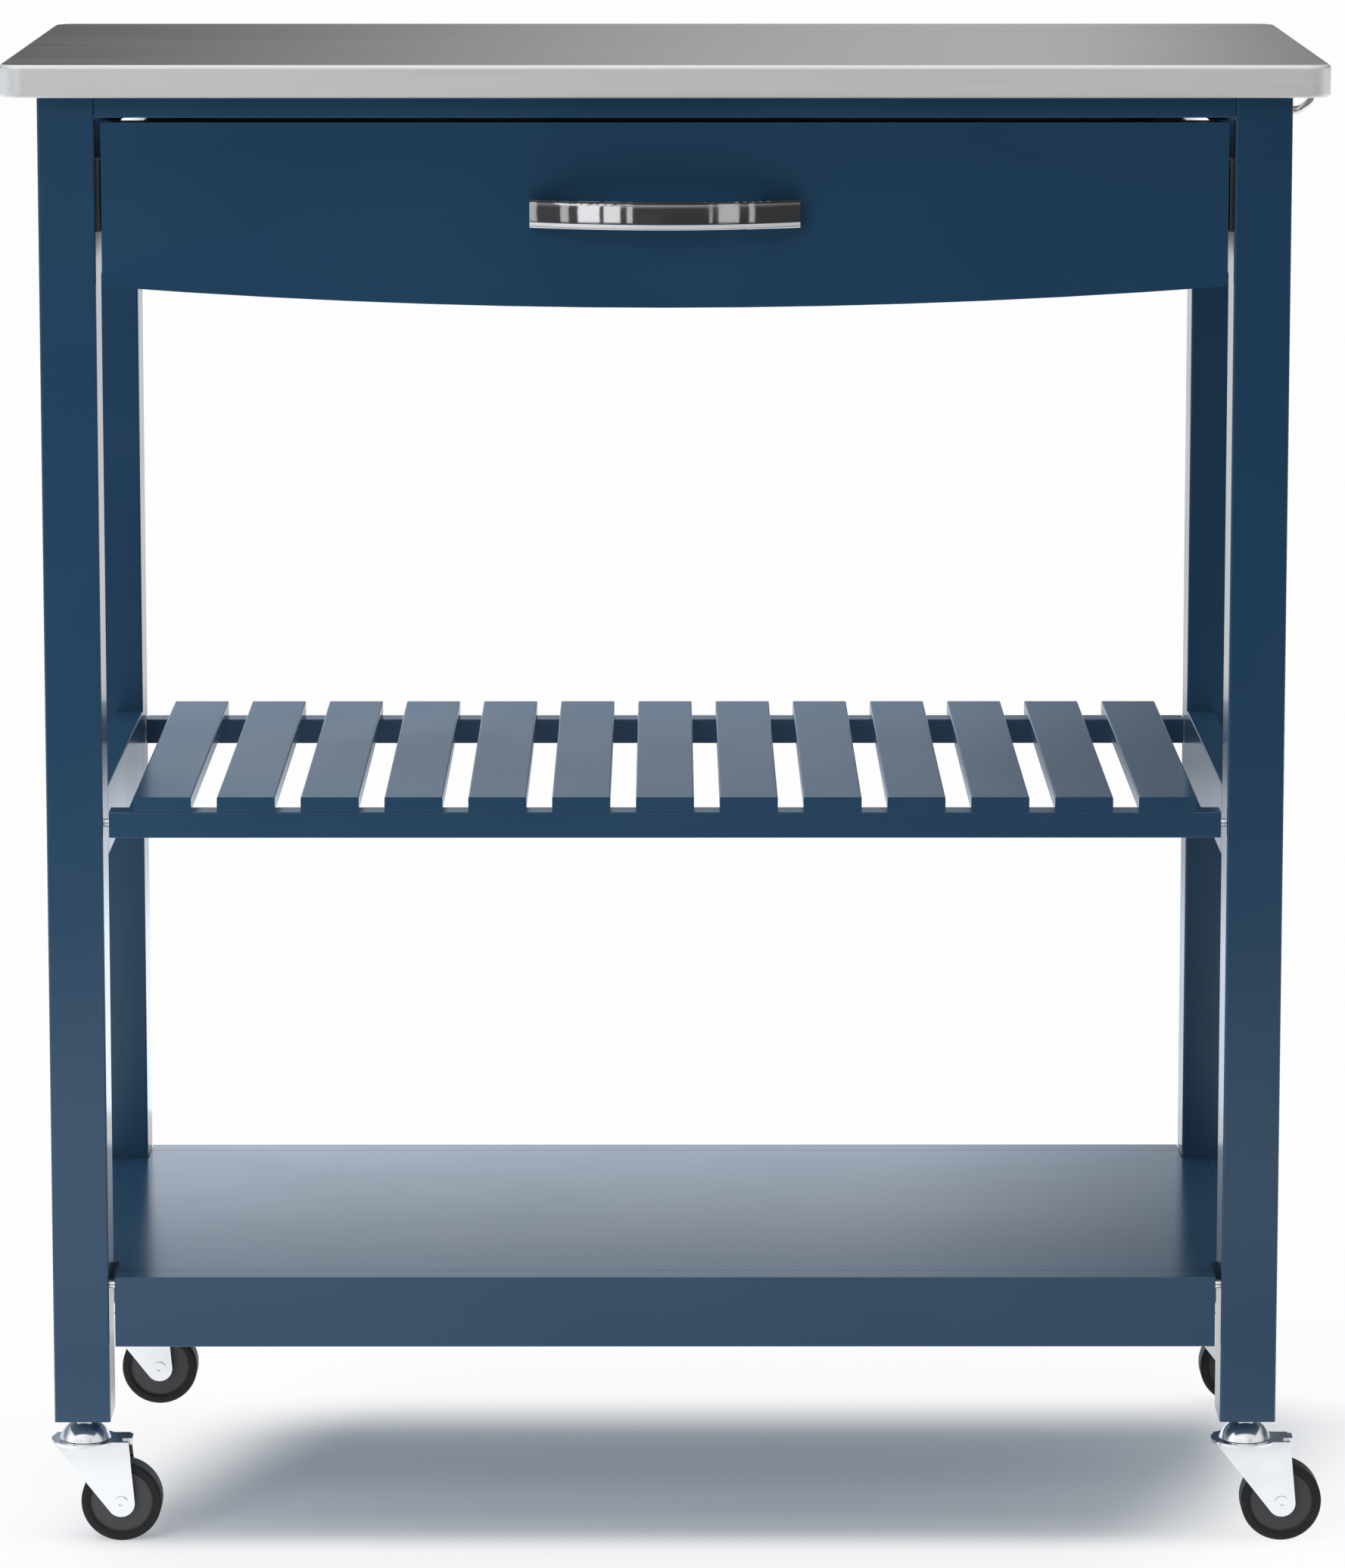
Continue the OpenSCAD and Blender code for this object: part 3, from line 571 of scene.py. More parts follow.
@dataclass(frozen=True)
class Moulded(Finish):
    """Black moulded plastic with a fine spark-eroded texture."""

    colour: Colour = (0.012, 0.012, 0.013)
    roughness: float = 0.44
    tones: Pair = (0.9, 1.15)
    cloud_scale: float = 60.0
    cloud_spread: float = 0.05
    texture_scale: float = 2200.0
    texture_depth: float = 0.02 * MM

    def surface(self, g: Graph) -> dict:
        """Draws the fine texture and a faint unevenness of gloss.

        Args:
            g: The material's empty graph.

        Returns:
            The inputs of its Principled shader.
        """
        fine = g.noise(g.place(), self.texture_scale, detail=2.0)
        cloud = g.noise(g.place(), self.cloud_scale)
        return {"Base Color": g.shades(cloud, self.colour, self.tones),
                "Roughness": g.about(cloud, self.roughness, self.cloud_spread),
                "Normal": g.bump(fine, self.texture_depth, strength=0.6)}


@dataclass(frozen=True)
class Finishes:
    """Every finish on the cart but the pull's and the wheels', which are made to their sizes."""

    steel: Finish = BrushedSheet("brushed_stainless", "steel_sheet")
    chipboard: Finish = RawWood("chipboard", "core_board", along=240.0, across=240.0)
    beech: Finish = RawWood("beech_dowel", "dowel_wood", dark=(0.50, 0.34, 0.19),
                            light=(0.68, 0.50, 0.31))
    paint_x: Finish = SatinPaint("navy_paint_x", "navy_paint", grain=Axis.X)
    paint_y: Finish = SatinPaint("navy_paint_y", "navy_paint", grain=Axis.Y)
    paint_z: Finish = SatinPaint("navy_paint_z", "navy_paint", grain=Axis.Z)
    coated: Finish = Coated("coated_board", "white_board")
    chrome: Finish = Plated("polished_chrome", "chrome")
    zinc: Finish = Plated("bright_zinc", "zinc", colour=(0.84, 0.85, 0.87), roughness=0.20,
                          cloud_spread=0.05, grit_depth=0.006 * MM)
    black: Finish = Moulded("black_plastic", "wheel_rubber")


FINISH = Finishes()


def node(name: str) -> bpy.types.Object:
    """Returns the object of a CAD node."""
    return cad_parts[name]


def dress(finish: Finish, names: Iterable[str]) -> None:
    """Gives CAD nodes a finish.

    Args:
        finish: The finish.
        names: The nodes' names.
    """
    for name in names:
        finish.dress(node(name))
        LOG.info("dressed %s in %s", name, finish.name)


# ---- Fittings ----


@dataclass
class Piece:
    """A new piece in the making: a mesh that becomes one object on one body."""

    name: str
    body: str
    finish: Finish
    bm: bmesh.types.BMesh = field(default_factory=bmesh.new)

    def block(self, low: Vector, high: Vector, bevel: float) -> None:
        """Adds a block with rounded edges.

        Args:
            low: Its lowest corner.
            high: Its highest corner.
            bevel: Radius of its edges.
        """
        made = bmesh.ops.create_cube(self.bm, size=1.0)["verts"]
        bmesh.ops.scale(self.bm, vec=high - low, verts=made)
        bmesh.ops.translate(self.bm, vec=(high + low) / 2, verts=made)
        bmesh.ops.bevel(self.bm, geom=edges_of(made), offset=bevel, segments=2, profile=0.5,
                        affect="EDGES", material=-1)

    def finished(self) -> None:
        """Turns the mesh into an object with its finish and body."""
        bmesh.ops.recalc_face_normals(self.bm, faces=self.bm.faces)
        mesh = bpy.data.meshes.new(self.name)
        self.bm.to_mesh(mesh)
        self.bm.free()
        made = bpy.data.objects.new(self.name, mesh)
        bpy.context.scene.collection.objects.link(made)
        self.finish.dress(made)
        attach(made, self.body)
        LOG.info("made %s with %d faces on %s", self.name, len(mesh.polygons), self.body)


def edges_of(verts: Iterable[bmesh.types.BMVert]) -> list[bmesh.types.BMEdge]:
    """Returns the edges at some vertices, each once and always in the same order."""
    return list(dict.fromkeys(edge for vert in verts for edge in vert.link_edges))


@dataclass(frozen=True)
class ScrewHead:
    """A pan head with a cross recess.

    The stops of its dome and recess are shares of the radius, each with one of the height.
    """

    radius: float
    height: float
    segments: int = 32
    dome: Stops = ((1.0, 0.0), (1.0, 0.35), (0.93, 0.68), (0.78, 0.90), (0.60, 1.0))
    recess: Stops = ((0.50, 1.0), (0.34, 0.35))
    arm: float = 0.26

    def add(self, piece: Piece, at: Vector, outward: Vector, turn_deg: float) -> None:
        """Adds one head to a piece.

        Args:
            piece: The piece that takes it.
            at: The middle of the head's underside.
            outward: The direction that it faces.
            turn_deg: How far the recess is turned about it.
        """
        place = Matrix.Translation(at) @ outward.to_track_quat("Z", "Y").to_matrix().to_4x4()
        place = place @ Matrix.Rotation(math.radians(turn_deg), 4, "Z")
        rings = [self.ring(piece.bm, place, *stop) for stop in self.dome]
        mouth, bottom = (self.cross(piece.bm, place, *stop) for stop in self.recess)
        for lower, upper in (*zip(rings, rings[1:]), (mouth, bottom)):
            bmesh.ops.bridge_loops(piece.bm, edges=lower + upper)
        bmesh.ops.holes_fill(piece.bm, edges=bottom)
        bmesh.ops.triangle_fill(piece.bm, edges=rings[-1] + mouth, use_beauty=True)

    def ring(self, bm: bmesh.types.BMesh, place: Matrix, share: float,
             rise: float) -> list[bmesh.types.BMEdge]:
        """Adds a circle round the head's axis.

        Args:
            bm: The mesh that takes it.
            place: Where the head's own axes lie on the cart.
            share: Its radius, as a share of the head's.
            rise: Its height, as a share of the head's.

        Returns:
            Its edges.
        """
        level = place @ Matrix.Translation((0.0, 0.0, rise * self.height))
        made = bmesh.ops.create_circle(bm, segments=self.segments, radius=share * self.radius,
                                       matrix=level)
        return edges_of(made["verts"])

    def cross(self, bm: bmesh.types.BMesh, place: Matrix, share: float,
              rise: float) -> list[bmesh.types.BMEdge]:
        """Adds an outline of the recess.

        Args:
            bm: The mesh that takes it.
            place: Where the head's own axes lie on the cart.
            share: How far its arms reach, as a share of the head's radius.
            rise: Its height, as a share of the head's.

        Returns:
            Its edges.
        """
        reach, half = share * self.radius, self.arm * share * self.radius
        corner = ((reach, -half), (reach, half), (half, half))
        quarters = ((1, 0), (0, 1), (-1, 0), (0, -1))
        verts = [bm.verts.new(place @ Vector((x * c - y * s, x * s + y * c, rise * self.height)))
                 for c, s in quarters for x, y in corner]
        return [bm.edges.new(ends) for ends in zip(verts, verts[1:] + verts[:1])]


@dataclass(frozen=True)
class AngleBracket:
    """A small pressed bracket that holds a board to the worktop's underside by two screws."""

    width: float = 22 * MM
    drop: float = 15 * MM
    reach: float = 9.5 * MM
    thickness: float = 1.5 * MM
    edge_share: float = 0.3
    head_share: float = 0.62
    head_turn_deg: float = 20.0
    head: ScrewHead = ScrewHead(2.7 * MM, 1.3 * MM)

    def add(self, plates: Piece, corner: Vector, inward: Vector) -> None:
        """Adds one bracket in the corner between a board and the worktop.

        Args:
            plates: The piece that takes it.
            corner: Middle of the bracket's outer corner line.
            inward: The level direction from the board into the cart.
        """
        along = Vector((abs(inward.y), abs(inward.x), 0.0)) * (self.width / 2)
        down = Vector((0.0, 0.0, -1.0))
        for way, length, other in ((down, self.drop, inward), (inward, self.reach, down)):
            ends = (corner - along, corner + along + way * length + other * self.thickness)
            low, high = Vector(map(min, *ends)), Vector(map(max, *ends))
            plates.block(low, high, self.edge_share * self.thickness)
            seat = corner + way * (self.head_share * length) + other * self.thickness
            self.head.add(plates, seat, other, self.head_turn_deg)


def islands(name: str) -> list[tuple[Vector, Vector]]:
    """Finds the separate solids of a CAD node.

    Args:
        name: The node's name.

    Returns:
        The lowest and highest corner of each solid.
    """
    bm = bmesh.new()
    bm.from_mesh(node(name).data)
    bmesh.ops.remove_doubles(bm, verts=bm.verts, dist=0.001 * MM)
    left = set(bm.verts)
    boxes = []
    while left:
        front = [left.pop()]
        low, high = front[0].co.copy(), front[0].co.copy()
        while front:
            vert = front.pop()
            low, high = Vector(map(min, low, vert.co)), Vector(map(max, high, vert.co))
            near = {edge.other_vert(vert) for edge in vert.link_edges} & left
            left -= near
            front.extend(near)
        boxes.append((low, high))
    bm.free()
    return sorted(boxes, key=lambda box: tuple(round(part, 5) for part in box[0]))


# ---- The cart's sub-assemblies ----


@dataclass
class Worktop:
    """The folded steel top on its board."""

    sheet: str = "top_sheet"
    core: str = "top_core"

    def build(self) -> None:
        """Dresses the sheet and its core."""
        dress(FINISH.steel, [self.sheet])
        dress(FINISH.chipboard, [self.core])


@dataclass
class Frame:
    """Legs, rails, aprons and the pieces that hold them."""

    bracket_y: float = 95 * MM
    bracket_x: float = 150 * MM

    def build(self) -> None:
        """Dresses each board along its own length."""
        dress(FINISH.paint_z, [f"leg_{c}" for c in CORNERS])
        dress(FINISH.paint_x, ["top_rail_front", "apron_rear"])
        dress(FINISH.paint_y, [f"apron_{s}" for s in SIDES])
        dress(FINISH.beech, ["frame_dowels"])
        dress(FINISH.zinc, ["connector_bolts"])
        self.add_brackets()

    def add_brackets(self) -> None:
        """Makes the brackets between aprons and worktop, above the slides and at the rear."""
        plates = Piece("top_brackets", "cart", FINISH.zinc)
        bracket = AngleBracket()
        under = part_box("top_core")[0].z
        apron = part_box("apron_right")[0].x
        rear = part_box("apron_rear")
        for along in (-self.bracket_y, self.bracket_y):
            bracket.add(plates, Vector((apron, along, under)), Vector((-1.0, 0.0, 0.0)))
            bracket.add(plates, Vector((-apron, along, under)), Vector((1.0, 0.0, 0.0)))
        for across in (-self.bracket_x, self.bracket_x):
            bracket.add(plates, Vector((across, rear[0].y, under)), Vector((0.0, -1.0, 0.0)))
        plates.finished()


@dataclass
class Shelves:
    """The slatted shelf and the bottom shelf."""

    slats: int = 13
    head_share: float = 0.97
    head_rise: float = 0.5 * MM
    head_turn_deg: float = 37.0

    def build(self) -> None:
        """Dresses the slats, the panel and the rails under them."""
        dress(FINISH.paint_y, [f"slat_{i + 1:02d}" for i in range(self.slats)])
        for kind in ("slat", "shelf"):
            dress(FINISH.paint_x, [f"{kind}_rail_front", f"{kind}_rail_rear"])
            dress(FINISH.paint_y, [f"{kind}_side_rail_{s}" for s in SIDES])
        dress(FINISH.paint_x, ["bottom_panel"])
        dress(FINISH.zinc, ["slat_screws"])
        self.add_screw_heads()

    def add_screw_heads(self) -> None:
        """Makes the recessed heads of the screws under the slats, each at a turn of its own."""
        heads = Piece("slat_screw_heads", "cart", FINISH.zinc)
        for i, (low, high) in enumerate(islands("slat_screws")):
            head = ScrewHead(self.head_share * (high.x - low.x) / 2, self.head_rise)
            at = Vector(((low.x + high.x) / 2, (low.y + high.y) / 2, low.z))
            head.add(heads, at, Vector((0.0, 0.0, -1.0)), self.head_turn_deg * i)
        heads.finished()


@dataclass
class Drawer:
    """The drawer, its slides and its pull.

    The shares place a slide's screws and lever along its inner member, counted from the front.
    """

    pull_head_share: float = 0.96
    pull_head_rise: float = 1.5 * MM
    pull_turns_deg: Pair = (25.0, 65.0)
    slide_gauge: float = 1.2 * MM
    slide_head: ScrewHead = ScrewHead(3.3 * MM, 1.6 * MM)
    screw_shares: Triple = (0.08, 0.42, 0.86)
    screw_turns_deg: Triple = (15.0, 65.0, 115.0)
    lever_share: float = 0.62
    lever_gap: float = 1.4 * MM
    lever_half: Triple = (1.3 * MM, 17 * MM, 3.6 * MM)
    lever_bevel: float = 0.8 * MM
    tip_offset: Triple = (0.0, -15 * MM, -3.2 * MM)
    tip_half: Triple = (1.3 * MM, 4.5 * MM, 2.8 * MM)
    tip_bevel: float = 1.1 * MM

    def build(self) -> None:
        """Dresses the drawer's boards, slides, pull and screws."""
        dress(FINISH.paint_x, ["drawer_front"])
        dress(FINISH.coated, ["drawer_side_left", "drawer_side_right", "drawer_back",
                              "drawer_bottom"])
        dress(FINISH.beech, ["drawer_dowels"])
        low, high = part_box("drawer_pull")
        dress(CrownedChrome("crowned_chrome", "chrome", middle=(low.z + high.z) / 2,
                            half=(high.z - low.z) / 2), ["drawer_pull"])
        dress(FINISH.zinc, ["pull_screws"])
        members = ("outer", "middle", "inner")
        dress(FINISH.zinc, [f"slide_{member}_{s}" for member in members for s in SIDES])
        self.add_pull_heads()
        for side in SIDES:
            self.add_slide_fittings(side)

    def add_pull_heads(self) -> None:
        """Makes the heads of the pull's screws, inside the drawer."""
        heads = Piece("pull_screw_heads", "drawer", FINISH.zinc)
        low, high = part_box("pull_screws")
        radius = (high.z - low.z) / 2
        head = ScrewHead(self.pull_head_share * radius, self.pull_head_rise)
        for x, turn_deg in zip((low.x + radius, high.x - radius), self.pull_turns_deg):
            at = Vector((x, high.y, (low.z + high.z) / 2))
            head.add(heads, at, Vector((0.0, 1.0, 0.0)), turn_deg)
        heads.finished()

    def add_slide_fittings(self, side: str) -> None:
        """Makes one inner slide member's screws and its release lever with its bent tip.

        Args:
            side: "left" or "right".
        """
        low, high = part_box(f"slide_inner_{side}")
        outward = Vector((1.0 if side == "right" else -1.0, 0.0, 0.0))
        web = (low.x if side == "right" else high.x) + outward.x * self.slide_gauge
        z = (low.z + high.z) / 2
        length = high.y - low.y
        heads = Piece(f"slide_screws_{side}", "drawer", FINISH.zinc)
        for share, turn_deg in zip(self.screw_shares, self.screw_turns_deg):
            self.slide_head.add(heads, Vector((web, low.y + share * length, z)), outward, turn_deg)
        heads.finished()
        lever = Piece(f"slide_lever_{side}", "drawer", FINISH.black)
        at = Vector((web + outward.x * self.lever_gap, low.y + self.lever_share * length, z))
        for middle, half, bevel in ((at, self.lever_half, self.lever_bevel),
                                    (at + Vector(self.tip_offset), self.tip_half, self.tip_bevel)):
            lever.block(middle - Vector(half), middle + Vector(half), bevel)
        lever.finished()


@dataclass
class TowelBar:
    """The bent towel bar."""

    bar: str = "towel_bar"

    def build(self) -> None:
        """Dresses the bar."""
        dress(FINISH.chrome, [self.bar])


@dataclass
class Casters:
    """The four swivel casters."""

    core_share: float = 0.78

    def build(self) -> None:
        """Dresses stems, forks and wheels, each wheel to its own axle and radius."""
        dress(FINISH.zinc, ["caster_stems"] + [f"caster_fork_{c}" for c in CORNERS])
        for corner in CORNERS:
            low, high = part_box(f"caster_wheel_{corner}")
            middle = (low + high) / 2
            wheel = WheelBlack(f"wheel_black_{corner}", "wheel_rubber", centre=(middle.x, middle.z),
                               ring=(high.z - low.z) / 2 * self.core_share)
            dress(wheel, [f"caster_wheel_{corner}"])


# ---- Studio ----


@dataclass(frozen=True)
class Softbox:
    """A rectangular area lamp aimed at a point, which neither the camera nor shiny surfaces see."""

    name: str
    place: Triple
    size: Pair
    watts: float
    aim: Triple = (0.0, 0.0, 0.45)
    tint: Colour = WHITE

    def build(self) -> None:
        """Makes the lamp."""
        lamp = bpy.data.lights.new(self.name, "AREA")
        lamp.shape = "RECTANGLE"
        lamp.size, lamp.size_y = self.size
        lamp.energy = self.watts
        lamp.color = self.tint
        made = bpy.data.objects.new(self.name, lamp)
        made.location = self.place
        made.rotation_mode = "QUATERNION"
        made.rotation_quaternion = (Vector(self.aim) - Vector(self.place)).to_track_quat("-Z", "Y")
        made.visible_camera = made.visible_glossy = False
        bpy.context.scene.collection.objects.link(made)


def gap_lamp(side: str, x: float) -> Softbox:
    """Returns the small lamp under the worktop that lights one gap beside the drawer.

    Args:
        side: "left" or "right".
        x: The gap's place across the cart.

    Returns:
        The lamp, aimed down.
    """
    return Softbox(f"lamp_gap_{side}", place=(x, -0.143, 0.8995), size=(0.016, 0.040), watts=0.015,
                   aim=(x, -0.1431, 0.0), tint=(0.86, 0.92, 1.0))


def stand_card(name: str, foot: Vector, turn: float, half: float, heights: Pair) -> Graph:
    """Makes an upright card that only shiny surfaces see.

    Args:
        name: The card's name.
        foot: The middle of its lower edge, on the floor.
        turn: Its turn about the vertical, in radians.
        half: Half its width.
        heights: Its lower and upper edge.

    Returns:
        The graph of its empty material, to draw its light in.
    """
    mesh = bpy.data.meshes.new(name)
    bm = bmesh.new()
    bmesh.ops.create_grid(bm, x_segments=1, y_segments=1, size=1.0)
    tall = (heights[1] - heights[0]) / 2
    bmesh.ops.scale(bm, vec=(half, tall, 1.0), verts=bm.verts)
    bmesh.ops.rotate(bm, matrix=Matrix.Rotation(math.pi / 2, 3, "X"), verts=bm.verts)
    bmesh.ops.rotate(bm, matrix=Matrix.Rotation(turn, 3, "Z"), verts=bm.verts)
    bmesh.ops.translate(bm, vec=foot + Vector((0.0, 0.0, sum(heights) / 2)), verts=bm.verts)
    bm.to_mesh(mesh)
    bm.free()
    made = bpy.data.objects.new(name, mesh)
    bpy.context.scene.collection.objects.link(made)
    made.visible_camera = made.visible_diffuse = made.visible_shadow = False
    made.visible_transmission = made.visible_volume_scatter = False
    material = bpy.data.materials.new(name)
    material.use_nodes = True
    mesh.materials.append(material)
    return Graph(material.node_tree)


@dataclass(frozen=True)
class Card:
    """An even white card that stands round the cart and faces it.

    The azimuth is counted from straight in front, towards the cart's right.
    """

    name: str
    azimuth_deg: float
    spread_deg: float
    level: float
    reach: float = 6.5
    heights: Pair = (0.02, 4.2)

    def build(self) -> None:
        """Makes the card."""
        turn = math.radians(self.azimuth_deg)
        half = self.reach * math.tan(math.radians(self.spread_deg) / 2)
        foot = Vector((math.sin(turn), -math.cos(turn), 0.0)) * self.reach
        g = stand_card(self.name, foot, turn, half, self.heights)
        light = g.add("Emission", {"Color": (*WHITE, 1.0), "Strength": self.level})
        g.add("OutputMaterial", {"Surface": light.outputs[0]})


@dataclass(frozen=True)
class RearCard:
    """A card behind the cart for its level surfaces to mirror, graded by height and side."""

    name: str
    half: float
    heights: Pair
    by_height: Stops
    by_side: Stops
    fades: Pair
    tint: Colour = WHITE
    back: float = 0.6

    def build(self) -> None:
        """Makes the card, which turns clear from the first height in fades to the second."""
        g = stand_card(self.name, Vector((0.0, self.back, 0.0)), 0.0, self.half, self.heights)
        x, _, z = g.parts(g.here())
        level = g.math("MULTIPLY", g.ramp(z, self.by_height), g.ramp(x, self.by_side))
        shown = g.add("Emission", {"Color": (*self.tint, 1.0), "Strength": level}).outputs[0]
        clear = g.add("BsdfTransparent").outputs[0]
        faded = g.add("MixShader", {0: g.remap(z, *self.fades, 0.0, 1.0), 1: shown, 2: clear})
        g.add("OutputMaterial", {"Surface": faded.outputs[0]})


@dataclass(frozen=True)
class World:
    """Soft light from all round, which is plain white to the camera and graded to shiny surfaces.

    Its stops and turns are parts of a direction's unit vector: x to the cart's right, y to its
    rear and z up. What shiny surfaces see low behind the cart is cool.
    """

    ambient: float = 0.27
    ambient_behind: float = 1.0
    ambient_turn: Pair = (-0.2, 0.3)
    rear_turn: Pair = (-0.15, 0.35)
    high_turn: Pair = (0.34, 0.60)
    ahead_by_height: Stops = ((0.10, 0.05), (0.34, 1.00), (0.70, 1.00), (0.95, 1.15))
    ahead_by_side: Stops = ((-0.6, 1.2), (0.5, 0.85))
    low_by_height: Stops = ((0.05, 0.60), (0.145, 0.98), (0.170, 0.26), (0.30, 0.26))
    low_by_side: Stops = ((-0.09, 1.10), (0.02, 0.93), (0.09, 0.38))
    high_by_height: Stops = ((0.75, 0.60), (0.97, 0.66))
    under: float = 1.0
    cool: Colour = (0.74, 0.88, 1.05)

    def build(self) -> None:
        """Makes the world."""
        made = bpy.data.worlds.new("studio")
        bpy.context.scene.world = made
        made.use_nodes = True
        g = Graph(made.node_tree)
        x, y, z = g.parts(g.add("TexCoord").outputs["Generated"])
        ahead = g.math("MULTIPLY", g.ramp(z, self.ahead_by_height), g.ramp(x, self.ahead_by_side))
        low = g.math("MULTIPLY", g.ramp(z, self.low_by_height), g.ramp(x, self.low_by_side))
        high_share = g.remap(z, *self.high_turn, 0.0, 1.0)
        behind = g.mix(high_share, low, g.ramp(z, self.high_by_height))
        behind = g.mix(g.math("GREATER_THAN", z, 0.0), self.under, behind)
        rear_share = g.remap(y, *self.rear_turn, 0.0, 1.0)
        path = g.add("LightPath").outputs
        in_gloss = g.math("MAXIMUM", path["Is Glossy Ray"], path["Is Transmission Ray"])
        even = g.remap(y, *self.ambient_turn, self.ambient, self.ambient_behind)
        level = g.mix(in_gloss, even, g.mix(rear_share, ahead, behind))
        level = g.mix(path["Is Camera Ray"], level, BACKDROP)
        cool_share = g.math("MULTIPLY", g.math("MULTIPLY", in_gloss, rear_share),
                            g.math("SUBTRACT", 1.0, high_share))
        colour = g.blend(cool_share, WHITE, self.cool)
        light = g.add("Background", {"Color": colour, "Strength": level})
        g.add("OutputWorld", {"Surface": light.outputs[0]})


@dataclass(frozen=True)
class Floor:
    """A pale floor that keeps the cart's shadow near the cart and runs into white further off.

    Near the cart it is matt. Further off it gives its own light: white to the camera, and to the
    cart one level in front for shiny surfaces, one for matt ones (the bounce) and one behind.
    The stops and the turn are in metres on the cart's axes.
    """

    half: float = 60.0
    colour: Colour = (0.71, 0.72, 0.74)
    glow: float = 0.13
    glow_tint: Colour = (0.70, 0.84, 1.0)
    shadow_across: Stops = ((-0.70, 0.0), (-0.37, 0.12), (-0.23, 1.0), (0.31, 1.0), (0.47, 0.12),
                            (0.80, 0.0))
    shadow_along: Stops = ((-0.60, 0.0), (-0.205, 0.20), (-0.15, 0.90), (-0.10, 1.0), (0.06, 1.0),
                           (0.19, 0.12), (0.60, 0.0))
    shadow_skew: float = -0.4
    front_levels: Stops = ((-2.3, 0.06), (-1.5, 0.90), (-1.1, 0.90), (-0.6, 0.50))
    front_edge: Stops = ((-0.50, 0.0), (-0.38, 0.75))
    front_fall: Stops = ((-0.40, 1.0), (0.0, 0.80), (0.9, 0.70))
    bounce_levels: Stops = ((-2.6, 0.1), (-1.2, 2.0))
    bounce_fall: Stops = ((-1.0, 1.2), (0.9, 0.55))
    rear_turn: Pair = (-0.2, 0.4)
    rear_level: float = 0.98
    gloss_tint: Colour = (0.95, 0.975, 1.0)

    def build(self) -> None:
        """Makes the floor."""
        mesh = bpy.data.meshes.new("floor")
        bm = bmesh.new()
        bmesh.ops.create_grid(bm, x_segments=1, y_segments=1, size=self.half)
        bm.to_mesh(mesh)
        bm.free()
        made = bpy.data.objects.new("floor", mesh)
        bpy.context.scene.collection.objects.link(made)
        material = bpy.data.materials.new("floor")
        material.use_nodes = True
        self.draw(Graph(material.node_tree))
        mesh.materials.append(material)

    def draw(self, g: Graph) -> None:
        """Draws the floor's material.

        Args:
            g: Its empty graph.
        """
        x, y, _ = g.parts(g.here())
        across = g.math("ADD", x, g.math("MULTIPLY", y, self.shadow_skew))
        near_share = g.math("MULTIPLY", g.ramp(across, self.shadow_across),
                            g.ramp(y, self.shadow_along))
        matt = g.add("BsdfDiffuse", {"Color": (*self.colour, 1.0)})
        glow = g.add("Emission", {"Color": (*self.glow_tint, 1.0), "Strength": self.glow})
        near = g.add("AddShader", {0: matt.outputs[0], 1: glow.outputs[0]})
        path = g.add("LightPath").outputs
        bounce = g.math("MULTIPLY", g.ramp(y, self.bounce_levels), g.ramp(x, self.bounce_fall))
        front = g.math("MULTIPLY", g.ramp(y, self.front_levels), g.ramp(x, self.front_fall))
        front = g.math("ADD", front, g.ramp(y, self.front_edge))
        unseen = g.mix(g.remap(y, *self.rear_turn, 0.0, 1.0),
                       g.mix(path["Is Diffuse Ray"], front, bounce), self.rear_level)
        level = g.mix(path["Is Camera Ray"], unseen, BACKDROP)
        colour = g.blend(path["Is Glossy Ray"], WHITE, self.gloss_tint)
        far = g.add("Emission", {"Color": colour, "Strength": level})
        joined = g.add("MixShader", {0: g.math("SUBTRACT", 1.0, near_share), 1: near.outputs[0],
                                     2: far.outputs[0]})
        g.add("OutputMaterial", {"Surface": joined.outputs[0]})


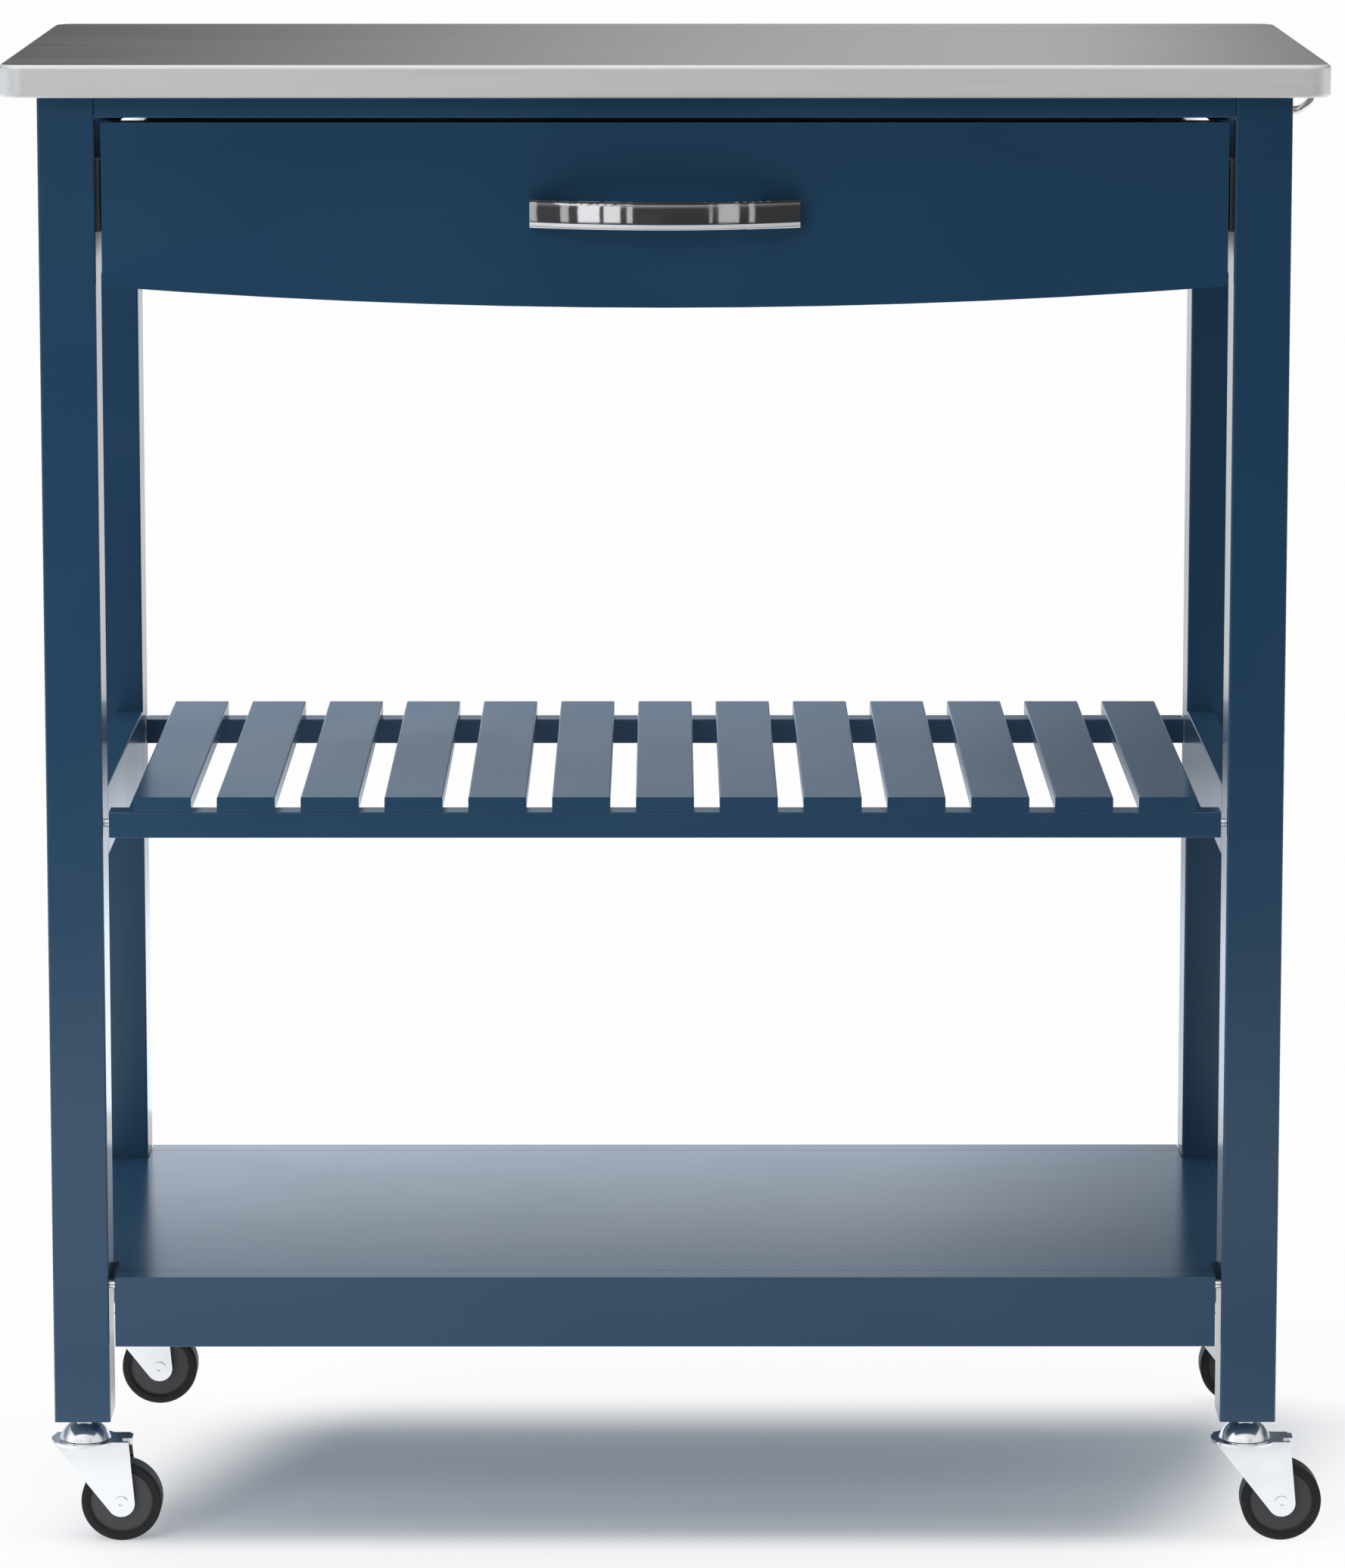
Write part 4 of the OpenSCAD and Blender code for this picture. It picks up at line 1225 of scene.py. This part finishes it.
@dataclass(frozen=True)
class Studio:
    """All that stands round the cart: world, floor, soft lamps and cards."""

    lamps: tuple[Softbox, ...] = (
        Softbox("lamp_over", place=(-0.4, 0.1, 3.0), size=(3.0, 2.4), watts=78.0,
                aim=(-0.4, 0.11, 0.0)),
        Softbox("lamp_front_high", place=(-1.4, -2.6, 2.3), size=(2.2, 0.9), watts=22.0),
        Softbox("lamp_left", place=(-1.6, -1.9, 1.0), size=(0.9, 0.9), watts=7.0),
        gap_lamp("left", -0.3345),
        gap_lamp("right", 0.3345),
    )
    cards: tuple[Card, ...] = (
        Card("card_a", azimuth_deg=-27.5, spread_deg=8.0, level=0.95),
        Card("card_b", azimuth_deg=-19.0, spread_deg=6.0, level=0.85),
        Card("card_c", azimuth_deg=-12.6, spread_deg=2.0, level=0.60),
        Card("card_d", azimuth_deg=16.5, spread_deg=1.0, level=0.40),
        Card("card_e", azimuth_deg=23.0, spread_deg=7.5, level=0.50),
        Card("card_f", azimuth_deg=31.5, spread_deg=2.0, level=0.45),
        Card("card_g", azimuth_deg=-36.5, spread_deg=3.0, level=0.50),
        Card("card_h", azimuth_deg=-48.5, spread_deg=2.6, level=0.50),
    )
    rear_cards: tuple[RearCard, ...] = (
        RearCard("card_behind_shelf", half=0.42, heights=(0.10, 0.44),
                 by_height=((0.22, 1.85), (0.30, 1.20), (0.37, 0.55)),
                 by_side=((-0.40, 1.05), (0.10, 0.92), (0.42, 0.50)),
                 fades=(0.36, 0.43), tint=(0.80, 0.88, 1.0)),
        RearCard("card_behind_top", half=1.0, heights=(0.90, 1.75),
                 by_height=((0.90, 1.0), (1.75, 1.0)),
                 by_side=((-0.60, 0.05), (0.26, 0.45), (0.52, 0.20)), fades=(1.25, 1.75)),
    )

    def build(self) -> None:
        """Makes world, floor, lamps and cards."""
        for piece in (World(), Floor(), *self.lamps, *self.cards, *self.rear_cards):
            piece.build()
        bpy.context.scene.view_settings.view_transform = "Standard"


@dataclass(frozen=True)
class Viewpoint:
    """The camera: in front of the cart, a little above the worktop, on a long lens."""

    place: Triple = (0.0, -4.2814, 1.1970)
    pitch_deg: float = 8.602
    yaw_deg: float = -0.0640
    sensor: float = 36.0
    lens: float = 156.4
    shift_y: float = -0.1
    clip: Pair = (0.05, 200.0)

    def build(self) -> None:
        """Makes the camera and sets it as the scene's."""
        camera = bpy.data.cameras.new("camera")
        camera.sensor_width = self.sensor
        camera.lens = self.lens
        camera.shift_y = self.shift_y
        camera.clip_start, camera.clip_end = self.clip
        made = bpy.data.objects.new("camera", camera)
        made.location = self.place
        made.rotation_euler = (math.radians(90.0 - self.pitch_deg), 0.0, math.radians(self.yaw_deg))
        bpy.context.scene.collection.objects.link(made)
        bpy.context.scene.camera = made


def main() -> None:
    """Builds the camera, the studio and every part of the cart, in order."""
    logging.basicConfig(level=logging.INFO, format="%(name)s: %(message)s")
    Viewpoint().build()
    Studio().build()
    for part in (Worktop(), Frame(), Shelves(), Drawer(), TowelBar(), Casters()):
        part.build()
        LOG.info("built %s", type(part).__name__)


if __name__ == "__main__":
    main()
